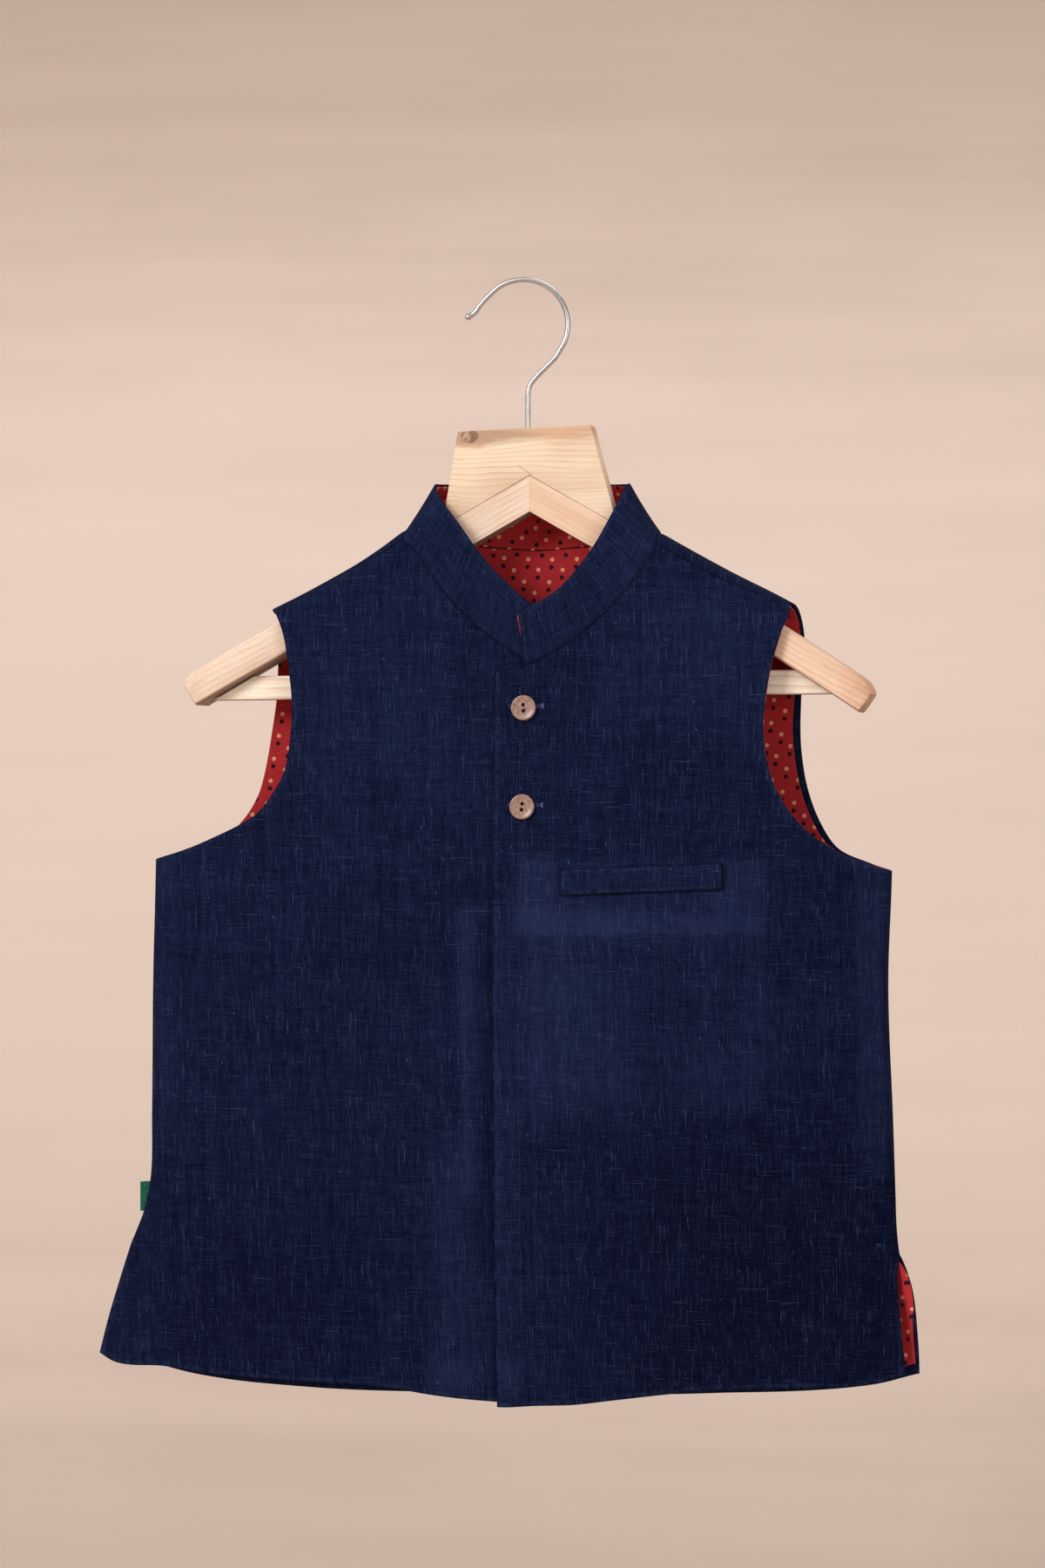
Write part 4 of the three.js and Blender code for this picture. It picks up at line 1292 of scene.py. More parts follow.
@dataclass(frozen=True)
class IndigoCotton:
    """Slubby handloom cotton, dyed deep indigo and a little rubbed."""

    deep: Colour = srgb(2, 4, 29)
    light: Colour = srgb(34, 44, 80)
    fleck: Colour = srgb(96, 116, 162)
    rubbed: Colour = srgb(48, 58, 92)
    # Painted shade along the seams, the collar's overlapping end and the welt's rim.
    groove_shade: Colour = srgb(3, 4, 14)
    sheen: Colour = srgb(110, 135, 200)
    pitch: float = 0.58
    deep_tone: float = 0.535
    light_tone: float = 0.795
    patch_shade_and_tone: float = 0.15

    def make(
        self,
        name: str,
        effects: Effects,
        patches: Sequence[ShadeAndTonePatch] = (),
        shift: float = 0.0,
        lift: float = 0.0,
    ) -> bpy.types.Material:
        """Makes the material for one panel.

        Args:
            name: The material's name.
            effects: The shared groups.
            patches: The panel's painted highlights and shade, with some uneven tone.
            shift: Moves the threads, so that no two panels match.
            lift: Makes the whole panel lighter.

        Returns:
            The material.
        """
        finish = Finish(name)
        g = finish.graph
        pattern = finish.pattern()
        edge, seam = finish.attribute("edge_mm"), finish.attribute("seam_mm")
        weave = finish.group(effects.weave, Pattern=pattern, Pitch=self.pitch, Shift=shift)
        wear = finish.group(effects.wear, Pattern=pattern, Edge=edge, Seam=seam)
        tone = g.plus(weave["Tone"], lift)
        # Painted light and shade: each patch lightens or darkens the cloth's tone.
        for patch in patches:
            centre, half = (patch.x, patch.up, 0), (patch.half_x, patch.half_up, 0)
            box = finish.group(effects.box, Pattern=pattern, Centre=centre, Half=half, Soft=patch.soft)
            tone = g.plus(tone, g.times(box["Mask"], patch.strength * self.patch_shade_and_tone))
        colour = g.blend(g.between(tone, self.deep_tone, self.light_tone), self.deep, self.light)
        for mask, strength, layer in (
            (weave["Flecks"], 0.74, self.fleck),
            (wear["Wear"], 0.4, self.rubbed),
            (wear["GrooveShade"], 0.65, self.groove_shade),
        ):
            colour = g.blend(g.times(mask, strength), colour, layer)
        normal = finish.bump(wear["Height"], 0.35)
        normal = finish.bump(weave["Height"], 0.22, 0.8, normal)
        finish.set(Base_Color=colour, Roughness=0.92, Normal=normal, Specular_IOR_Level=0.05)
        finish.set(Sheen_Weight=0.012, Sheen_Roughness=0.6, Sheen_Tint=self.sheen)
        return finish.material


@dataclass(frozen=True)
class DottedLining:
    """Brick-red cotton with small peach and dark dots."""

    ground: Colour = srgb(154, 27, 34)
    ground_light: Colour = srgb(186, 45, 51)
    peach: Colour = srgb(236, 162, 126)
    dark: Colour = srgb(34, 12, 24)
    # Painted shade where the facing dips into the neck seam.
    seam: Colour = srgb(34, 8, 14)
    radius: float = 1.22
    dark_growth: float = 1.06
    pitch: float = 0.4
    shift: float = 300.0

    def make(
        self,
        name: str,
        effects: Effects,
        first: Point,
        second: Point,
        offset: Point,
    ) -> bpy.types.Material:
        """Makes the material.

        Args:
            name: The material's name.
            effects: The shared groups.
            first: One step of the dots' lattice, in millimetres.
            second: Its other step.
            offset: From a peach dot to its dark one.

        Returns:
            The material.
        """
        finish = Finish(name)
        g = finish.graph
        pattern, seam = finish.pattern(), finish.attribute("painted_seam_shade")
        size = first[0] * second[1] - first[1] * second[0]
        lattice = {
            "Pattern": pattern,
            "First_Step": (*first, 0),
            "Second_Step": (*second, 0),
            "First_Count": (second[1] / size, -second[0] / size, 0),
            "Second_Count": (-first[1] / size, first[0] / size, 0),
        }
        peach = finish.group(effects.dots, **lattice, Offset=(0, 0, 0), Radius=self.radius)
        dark_radius = self.radius * self.dark_growth
        dark = finish.group(effects.dots, **lattice, Offset=(*offset, 0), Radius=dark_radius)
        weave = finish.group(effects.weave, Pattern=pattern, Pitch=self.pitch, Shift=self.shift)
        colour = g.blend(g.between(weave["Tone"], 0.34, 0.68), self.ground, self.ground_light)
        # Painted shade: the facing's strip along the neck seam is drawn dark.
        for mask, layer in (
            (seam, self.seam),
            (dark["Mask"], self.dark),
            (peach["Mask"], self.peach),
            (g.between(seam, 0.6, 0.9), self.seam),
        ):
            colour = g.blend(mask, colour, layer)
        normal = finish.bump(weave["Height"], 0.1, 0.7)
        finish.set(Base_Color=colour, Roughness=0.85, Normal=normal, Specular_IOR_Level=0.2)
        finish.set(Sheen_Weight=0.05, Sheen_Roughness=0.5)
        return finish.material


@dataclass(frozen=True)
class PaleWood:
    """Pale softwood, sawn and sanded, with brown late wood and now and then a knot."""

    early: Colour = srgb(245, 221, 193)
    late: Colour = srgb(203, 150, 112)
    fibre: Colour = srgb(206, 160, 126)
    knot_colour: Colour = srgb(104, 62, 40)
    # Painted shade: a brown that darkens the faces that point down, where the arms' undersides fall in
    # shadow.
    underside_shade: Colour = srgb(120, 76, 54)
    knot_rim: float = 5.2
    swirl_lift: float = 0.011
    handled_from: float = 0.178
    handled_full: float = 0.203

    def knot_marks(self, g: Graph, at: Socket, middle: Sequence[float]) -> tuple[Socket, Socket]:
        """Draws a knot.

        Args:
            g: The material's graph.
            at: The place on the piece, in millimetres.
            middle: The knot's middle, in millimetres.

        Returns:
            How dark the knot is, and how it lifts the grain round it, in metres.
        """
        away = g.vector("SUBTRACT", at, middle)
        wobble = g.times(g.noise(at, 0.35, 2.0), 2.6)
        distance = g.plus(g.vector("LENGTH", g.stretched(away, (0.8, 0.25, 1.25))), wobble)
        swirl = g.times(g.between(distance, 2.0, 15.0, 1.0, 0.0), self.swirl_lift)
        blotchy = g.between(g.noise(at, 0.42, 3.0), 0.4, 0.6, 0.2, 1.0)
        rim = g.between(g.size(g.minus(distance, self.knot_rim)), 0.2, 1.5, 1.0, 0.0)
        rim = g.times(rim, g.plus(g.times(blotchy, 0.5), 0.5))
        core = g.times(g.between(distance, 4.4, 5.6, 0.95, 0.0), blotchy)
        drawn_out = g.vector("LENGTH", g.stretched(away, (0.14, 0.1, 1.1)))
        stain = g.between(drawn_out, 3.0, 7.5, 0.4, 0.0)
        dark = g.math("MAXIMUM", g.math("MAXIMUM", rim, core), stain)
        return dark, g.combined(0.0, 0.0, swirl)

    def saw_mark(self, g: Graph, at: Socket) -> Socket:
        """Gives the short saw cut that runs on from the arms' mitre."""
        from_cut = g.vector("SUBTRACT", at, (APEX_X, 0.0, APEX_Z + 1.2))
        aside = g.size(g.vector("DOT_PRODUCT", from_cut, (0.56, 0.0, 0.83)))
        along = g.vector("DOT_PRODUCT", from_cut, (-0.83, 0.0, 0.56))
        line = g.between(aside, 0.15, 0.55, 0.75, 0.0)
        return g.times(line, g.between(along, 7.0, 9.0, 1.0, 0.0), g.between(along, -3.0, -2.0))

    def dark_strip(self, g: Graph, at: Socket, turned: Socket) -> Socket:
        """Gives the strip of late wood along the head board's upper edge."""
        level = g.axis(g.millimetres(turned), 2)
        uneven = g.times(g.noise(g.stretched(at, (0.05, 0.2, 0.3)), detail=2.0), 12.0)
        return g.between(g.plus(level, uneven), -87.0, -81.0, 0.0, 0.62)

    def make(
        self,
        name: str,
        effects: Effects,
        slope: float,
        shift: float,
        rings: float,
        bend: float = 12.0,
        knot: tuple[float, float, float] | None = None,
        tint: Colour = (1.0, 1.0, 1.0, 1.0),
    ) -> bpy.types.Material:
        """Makes the material for one piece of the hanger.

        Args:
            name: The material's name.
            effects: The shared groups.
            slope: The turn of the grain about Y, in radians.
            shift: Moves the grain, so that no two pieces match.
            rings: Growth rings to the millimetre.
            bend: How far the growth rings wander, in millimetres.
            knot: The middle of a knot, in millimetres.
            tint: Multiplies the wood's colour. On the bar it is painted light, making it paler.

        Returns:
            The material.
        """
        finish = Finish(name)
        g = finish.graph
        place = finish.place()
        at = g.millimetres(place)
        turned = g.add("ShaderNodeMapping", {"Vector": place, "Rotation": (0, slope, 0)}).outputs[0]
        knot_layers = []
        if knot is not None:
            dark, lift = self.knot_marks(g, at, knot)
            turned = g.vector("ADD", turned, lift)
            knot_layers = [
                (self.dark_strip(g, at, turned), self.late),
                (self.saw_mark(g, at), self.fibre),
                (g.times(dark, 0.85), self.knot_colour),
            ]
        grain = finish.group(effects.grain, Place=turned, Rings=rings, Shift=shift, Bend=bend)
        uneven = g.between(g.noise(at, 0.03, 1.0), 0.35, 0.65, 0.15, 0.6)
        broad = g.noise(g.stretched(g.millimetres(turned), (0.01, 0.06, 0.06)), detail=1.0)
        near_ends = g.between(g.size(g.axis(place, 0)), self.handled_from, self.handled_full)
        handled = g.between(g.noise(at, 0.13, 3.0), 0.35, 0.65, 0.25, 0.75)
        facing = g.axis(g.add("ShaderNodeNewGeometry").outputs["Normal"], 2)
        colour = self.early
        for mask, layer in (
            (g.times(grain["Late"], uneven), self.late),
            (g.between(grain["Fibre"], 0.5, 0.75, 0.0, 0.4), self.fibre),
            (g.between(broad, 0.45, 0.75, 0.0, 0.35), self.late),
            *knot_layers,
            (g.times(near_ends, handled), self.fibre),
            # Painted shade: faces that point down are blended towards a darker brown.
            (g.between(facing, -0.8, -0.3, 0.7, 0.0), self.underside_shade),
        ):
            colour = g.blend(mask, colour, layer)
        colour = g.blend(1.0, colour, tint, "MULTIPLY")
        roughness = g.between(grain["Fibre"], 0.2, 0.8, 0.55, 0.72)
        normal = finish.bump(grain["Height"], 0.12, 0.5)
        finish.set(Base_Color=colour, Roughness=roughness, Normal=normal, Specular_IOR_Level=0.3)
        return finish.material


@dataclass(frozen=True)
class SteelWire:
    """Drawn steel wire, bright and a little scuffed."""

    colour: Colour = srgb(205, 203, 200)
    scuffed: Colour = srgb(182, 180, 178)

    def make(self) -> bpy.types.Material:
        """Makes the material."""
        finish = Finish("steel_wire")
        g = finish.graph
        at = finish.place_mm()
        spots = g.noise(at, 0.6, 3.0, 0.65)
        colour = g.blend(g.between(spots, 0.5, 0.72), self.colour, self.scuffed)
        roughness = g.between(spots, 0.3, 0.75, 0.26, 0.36)
        normal = finish.bump(g.noise(at, 1.4, 1.0), 0.02, 0.12)
        finish.set(Base_Color=colour, Metallic=1.0, Roughness=roughness, Normal=normal)
        return finish.material


@dataclass(frozen=True)
class CoconutShell:
    """Turned coconut shell, brown with fine pale and dark fibres."""

    brown: Colour = srgb(137, 103, 89)
    pale: Colour = srgb(181, 150, 136)
    dark: Colour = srgb(78, 46, 36)

    def make(self) -> bpy.types.Material:
        """Makes the material."""
        finish = Finish("coconut_shell")
        g = finish.graph
        at = finish.place_mm()
        streaks = g.noise(g.stretched(at, (1.8, 1.8, 0.5)), 1.0, 3.0, 0.6)
        dots = g.noise(at, 2.2, 2.0)
        colour = g.blend(g.between(streaks, 0.35, 0.7), self.brown, self.pale)
        colour = g.blend(g.between(dots, 0.58, 0.7, 0.0, 0.3), colour, self.dark)
        roughness = g.between(streaks, 0.3, 0.7, 0.25, 0.42)
        normal = finish.bump(streaks, 0.05, 0.6)
        finish.set(Base_Color=colour, Roughness=roughness, Normal=normal, Specular_IOR_Level=0.55)
        return finish.material


@dataclass(frozen=True)
class Thread:
    """Sewing thread with a visible twist."""

    name: str
    colour: Colour
    shade: Colour
    twists: float = 14.0

    def make(self) -> bpy.types.Material:
        """Makes the material."""
        finish = Finish(self.name)
        g = finish.graph
        at = finish.place_mm()
        slant = g.plus(g.axis(at, 0), g.axis(at, 1), g.axis(at, 2))
        twist = g.math("SINE", g.times(slant, self.twists))
        colour = g.blend(g.between(twist, -0.6, 0.6), self.shade, self.colour)
        normal = finish.bump(twist, 0.05, 0.6)
        finish.set(Base_Color=colour, Roughness=0.7, Normal=normal, Specular_IOR_Level=0.3)
        return finish.material


@dataclass(frozen=True)
class GreenTape:
    """Plain ribbed tape, dark green."""

    colour: Colour = srgb(16, 104, 80)
    shade: Colour = srgb(8, 66, 52)
    ribs: float = 9.0

    def make(self) -> bpy.types.Material:
        """Makes the material."""
        finish = Finish("green_tape")
        g = finish.graph
        at = finish.place_mm()
        ribs = g.math("SINE", g.times(g.axis(at, 2), self.ribs))
        patchy = g.plus(g.times(ribs, 0.12), g.noise(at, 0.9, 2.0))
        colour = g.blend(g.between(patchy, 0.35, 0.7), self.shade, self.colour)
        normal = finish.bump(ribs, 0.08, 0.6)
        finish.set(Base_Color=colour, Roughness=0.75, Normal=normal, Specular_IOR_Level=0.25)
        finish.set(Sheen_Weight=0.1, Sheen_Roughness=0.4)
        return finish.material


# Cloth panels


@dataclass(frozen=True)
class Panel:
    """One sewn piece of the body, shell or lining."""

    name: str
    halves: tuple[HalfPattern, ...]
    insets: tuple[Inset, ...]
    flat: tuple[float, float]
    columns: int


@dataclass
class Garment:
    """The body's panels and their linings on the hung form."""

    form: ClothForm
    shell_thick: float = 1.5
    lining_near: float = 2.1
    lining_thick: float = 1.0
    shell_roll: float = 0.62
    lining_roll: float = 0.3
    seam_dip: float = 0.42
    rows: int = ROW_TOTAL
    lining_rows: int = ROW_TOTAL // 2
    shell: tuple[Panel, ...] = (
        Panel("front_right_panel", (RIGHT_FRONT,), (Inset(),), (0.285, 0.50), 86),
        Panel("front_left_panel", (LEFT_FRONT,), (Inset(),), (0.24, 0.50), 78),
        Panel("back_panel", (RIGHT_BACK, LEFT_BACK), (Inset(), Inset()), (0.485, 0.535), 78),
    )
    lining: tuple[Panel, ...] = (
        Panel("lining_front_right", (RIGHT_FRONT,), (Inset(6, 2.5, 0.5, 1),), (0.28, 0.49), 44),
        Panel("lining_front_left", (LEFT_FRONT,), (Inset(6, 2.5, -0.2, 1.8),), (0.235, 0.49), 40),
        Panel(
            "lining_back", (RIGHT_BACK, LEFT_BACK), (Inset(6, 2.5, 0.5, 0), Inset(6, 0.9, 4.8, 0)),
            (0.48, 0.525), 40,
        ),
    )

    def along(
        self, columns: Callable[[HalfPattern, Zone], list[float]], whole_row: float, steps: int
    ) -> list[Vector]:
        """Gives places along lines of all four halves.

        Args:
            columns: Gives the columns that count on one half and in one stretch.
            whole_row: The row that counts from end to end, 0 for the hem and 1 for the shoulder.
            steps: How many steps that row is cut into.

        Returns:
            The places on the hung form.
        """
        places = []
        for half in HALVES:
            grid = PatternGrid(self.form, half)
            for i in range(ROW_TOTAL + 1):
                ends = grid.ends_of(i / ROW_TOTAL)
                places += [grid.on_form(column, ends) for column in columns(half, ends[0])]
            row = grid.ends_of(whole_row)
            places += [grid.on_form(i / steps, row) for i in range(steps + 1)]
        return places

    def sewn_lines(self) -> list[Vector]:
        """Gives places along the shoulder seams, the side seams and the neck seam."""
        sewn = {Zone.SIDE: [1.0], Zone.SHOULDER: [0.0]}
        return self.along(lambda half, zone: sewn.get(zone, []), 1.0, 80)

    def free_edges(self) -> list[Vector]:
        """Gives places along the hem, the slits, the armholes and the front edges."""

        def free(half: HalfPattern, zone: Zone) -> list[float]:
            """Gives the free edges of one stretch: 1 is at the side and 0 at the middle."""
            at_side = [] if zone is Zone.SIDE else [1.0]
            at_middle = half.face is Face.FRONT and zone is not Zone.SHOULDER
            return at_side + ([0.0] if at_middle else [])

        return self.along(free, 0.0, 120)

    def sheet_mesh(self, panel: Panel, rows: int) -> bmesh.types.BMesh:
        """Lays a panel's halves on the form and joins them along the middle.

        Args:
            panel: The panel.
            rows: How many rows of cells it gets.

        Returns:
            The sheet, as thin as paper, with its faces outwards.
        """
        bm = new_bmesh()
        for half, inset in zip(panel.halves, panel.insets):
            PatternGrid(self.form, half, inset).lay(bm, panel.columns, rows)
        if len(panel.halves) > 1:
            bmesh.ops.remove_doubles(bm, verts=bm.verts, dist=0.02)
        bm.normal_update()
        return bm

    def build_shell(self, finishes: dict[str, bpy.types.Material]) -> None:
        """Builds the three shell panels.

        Args:
            finishes: The material of each panel, by its name.
        """
        sewn, free = self.sewn_lines(), self.free_edges()
        for panel in self.shell:
            bm = self.sheet_mesh(panel, self.rows)
            area = cut_area(bm)
            keep_distance(bm, "edge_mm", free)
            keep_distance(bm, "seam_mm", sewn)
            self.dip_seams(bm)
            lay_uv(bm)
            piece = new_piece(panel.name, bm, finishes[panel.name], [panel.name], SMOOTH)
            thicken(piece, self.shell_thick, self.shell_roll)
            log.info("%s, %.4f m2 of cut", panel.name, area)

    def dip_seams(self, bm: bmesh.types.BMesh) -> None:
        """Pulls the cloth in along its seams, as the thread does."""
        seam = bm.verts.layers.float["seam_mm"]
        for vert in bm.verts:
            if vert[seam] < 5:
                vert.co -= vert.normal * (self.seam_dip * math.exp(-((vert[seam] / 1.5) ** 2)))
        bm.normal_update()

    def build_lining(self, finish: bpy.types.Material) -> None:
        """Builds the three lining pieces inside the shell."""
        for panel in self.lining:
            bm = self.sheet_mesh(panel, self.lining_rows)
            area = cut_area(bm)
            draw_in(bm, self.lining_near)
            lay_uv(bm)
            piece = new_piece(panel.name, bm, finish, [panel.name], SMOOTH)
            thicken(piece, self.lining_thick, self.lining_roll)
            log.info("%s, %.4f m2 of cut", panel.name, area)


COLLAR_TOP = (
    (2.3, -26.4, -191.1), (11.5, -26.2, -186.2), (23, -25.4, -179.3), (33.4, -23.6, -168.9),
    (44.5, -20, -153.3), (55.2, -14, -132.4), (60.6, -1, -117.6), (60, 12, -115.6),
    (48, 20.5, -115.2), (4, 22.5, -114.6), (-39, 20.5, -114), (-50, 12, -114.2),
    (-51.4, -1, -115.8), (-44.5, -13.5, -125.6), (-34.3, -18.5, -138.1), (-22.2, -20.8, -154.7),
    (-10.7, -21.6, -167.9), (1, -21.8, -179), (12, -21.8, -187.5),
)


@dataclass
class Collar:
    """The stand collar, from its left end round the back of the neck to its right end."""

    form: ClothForm
    neck_steps: int = 7
    seam_gap: float = -0.55
    facing_foot: float = 0.12
    facing_peek: float = 0.5
    end_shadow_reach: float = 19.0
    columns: int = 220
    rows: int = 26
    thickness: float = 1.5
    roll: float = 0.62
    lining_near: float = 2.0
    lining_thick: float = 1.0
    lining_roll: float = 0.3
    lining_drop: float = 0.9
    front_lengths: tuple[float, float] = (80.0, 350.0)
    seam_shade_front: float = 2.2
    seam_shade_back: float = 0.3
    flat: tuple[float, float] = (0.43, 0.052)

    def base(self) -> list[Vector]:
        """Gives the places of the neck seam that the collar's lower edge follows."""

        def edge(half: HalfPattern) -> list[Vector]:
            """Gives the neckline of one half from its middle to the shoulder."""
            grid = PatternGrid(self.form, half)
            start = ROW_TOTAL - Zone.SHOULDER.value
            step = Zone.SHOULDER.value / self.neck_steps
            rows = [(start + step * i) / ROW_TOTAL for i in range(self.neck_steps + 1)]
            return [grid.on_form(0.0, grid.ends_of(row)) for row in rows]

        left, right = edge(LEFT_FRONT)[1:], edge(RIGHT_FRONT)[1:]
        back = [*reversed(edge(LEFT_BACK)), *edge(RIGHT_BACK)[1:]]
        return [*left, *back[1:-1], *reversed(right)]

    def sheet_mesh(self, foot: float, drop: float = 0.0) -> bmesh.types.BMesh:
        """Spans a sheet between the neck seam and the collar's top edge.

        Args:
            foot: How far above the neck seam the sheet starts.
            drop: How far the top edge is drawn down.

        Returns:
            The sheet, with its faces outwards.
        """
        bm = new_bmesh()
        pattern = bm.verts.layers.float_vector["pattern"]
        low = Spline(self.base()).spaced(self.columns)
        high = Spline(COLLAR_TOP).spaced(self.columns)
        step = sum((b - a).length for a, b in zip(low, low[1:])) / self.columns
        for vert, across, share in unit_grid(bm, self.columns, self.rows):
            index = round(across * self.columns)
            rise = high[index] - low[index]
            start = foot / rise.length
            end = 1 - drop / rise.length
            vert[pattern] = Vector((index * step, share * rise.length, 0))
            vert.co = low[index] + rise * mix(start, end, share)
        bm.normal_update()
        middle = sum((vert.co for vert in bm.verts), Vector()) / len(bm.verts)
        face_outwards(bm, sum((f.calc_center_median() - middle).dot(f.normal) for f in bm.faces))
        return bm

    def build(self, shell: bpy.types.Material, lining: bpy.types.Material) -> None:
        """Builds the outer collar and its facing.

        Args:
            shell: The indigo cloth.
            lining: The dotted cloth.
        """
        bm = self.sheet_mesh(self.seam_gap)
        pattern = bm.verts.layers.float_vector["pattern"]
        rim = [vert.co.copy() for vert in bm.verts if vert.is_boundary and vert[pattern].y > 1.5]
        keep_distance(bm, "edge_mm", rim)
        # Painted shadow: the lower part of the collar's left end, where it lies over the right end, is
        # counted as seam, so it gets the seam's dip and is drawn dark.
        at_end = [v for v in bm.verts if v[pattern].x < 0.01 and v[pattern].y < self.end_shadow_reach]
        end_edge = [vert.co.copy() for vert in at_end]
        keep_distance(bm, "seam_mm", Spline(self.base()).spaced(600) + end_edge)
        area = cut_area(bm)
        lay_uv(bm)
        outer = new_piece("collar_outer", bm, shell, ["collar_outer"], SMOOTH)
        thicken(outer, self.thickness, self.roll, 3)
        bm = self.sheet_mesh(self.facing_foot, self.lining_drop)
        draw_in(bm, self.lining_near)
        self.peek_facing(bm)
        # Painted shade: the facing's strip next to the neck seam, wider at the front, is marked to be
        # drawn dark.
        near = bm.verts.layers.float.new("painted_seam_shade")
        pattern = bm.verts.layers.float_vector["pattern"]
        right_end, left_end = self.front_lengths
        for vert in bm.verts:
            at_back = right_end < vert[pattern].x < left_end
            shade = self.seam_shade_back if at_back else self.seam_shade_front
            vert[near] = 1.0 if vert[pattern].y < shade else 0.0
        lay_uv(bm)
        inner = new_piece("collar_lining", bm, lining, ["collar_lining"], SMOOTH)
        thicken(inner, self.lining_thick, self.lining_roll)
        log.info("collar, %.4f m2 of cut", area)

    def peek_facing(self, bm: bmesh.types.BMesh) -> None:
        """Lets the facing show past the upper part of the collar's left end."""
        pattern = bm.verts.layers.float_vector["pattern"]
        outwards = (Vector(COLLAR_TOP[0]) - Vector(COLLAR_TOP[1])).normalized()
        for vert in bm.verts:
            along, up = vert[pattern].x, vert[pattern].y
            if along < 4:
                share = smoothstep(up, 14, 21) * smoothstep(4 - along, 0, 4)
                vert.co += outwards * (self.facing_peek * share) + Vector((0, -0.5 * share, 0))


@dataclass
class ChestPocket:
    """The welt over the pocket's mouth, on the left front."""

    form: ClothForm
    inner_x: float = 27.0
    outer_x: float = 119.4
    inner_top: float = -336.0
    outer_top: float = -332.2
    height: float = 15.3
    thickness: float = 1.4
    seam_gap: float = 0.35
    columns: int = 96
    rows: int = 22

    def build(self, finish: bpy.types.Material) -> None:
        """Builds the welt, folded at its top edge and sewn down at its ends."""
        bm = new_bmesh()
        pattern = bm.verts.layers.float_vector["pattern"]
        for vert, share, rise in unit_grid(bm, self.columns, self.rows):
            x = mix(self.inner_x, self.outer_x, share)
            z = mix(self.inner_top, self.outer_top, share) - self.height * (1 - rise)
            crown = math.sin(math.pi * rise) ** 0.5 * 0.5
            on_cloth = self.form.point(Face.FRONT, x, z)
            vert[pattern] = Vector((x, z + 700, 0))
            vert.co = on_cloth - Vector((0, self.seam_gap + self.thickness + crown, 0))
        bm.normal_update()
        rim = [vert.co.copy() for vert in bm.verts if vert.is_boundary]
        keep_distance(bm, "edge_mm", rim)
        # Painted shade: the whole rim is counted as seam, so it gets the seam's dip and is drawn dark all
        # round.
        keep_distance(bm, "seam_mm", rim)
        lay_uv(bm)
        welt = new_piece("pocket_welt", bm, finish, ["pocket_welt"], SMOOTH)
        thicken(welt, self.thickness, 0.5, 3)
        log.info("pocket_welt")


# Buttons, stitches and the tab


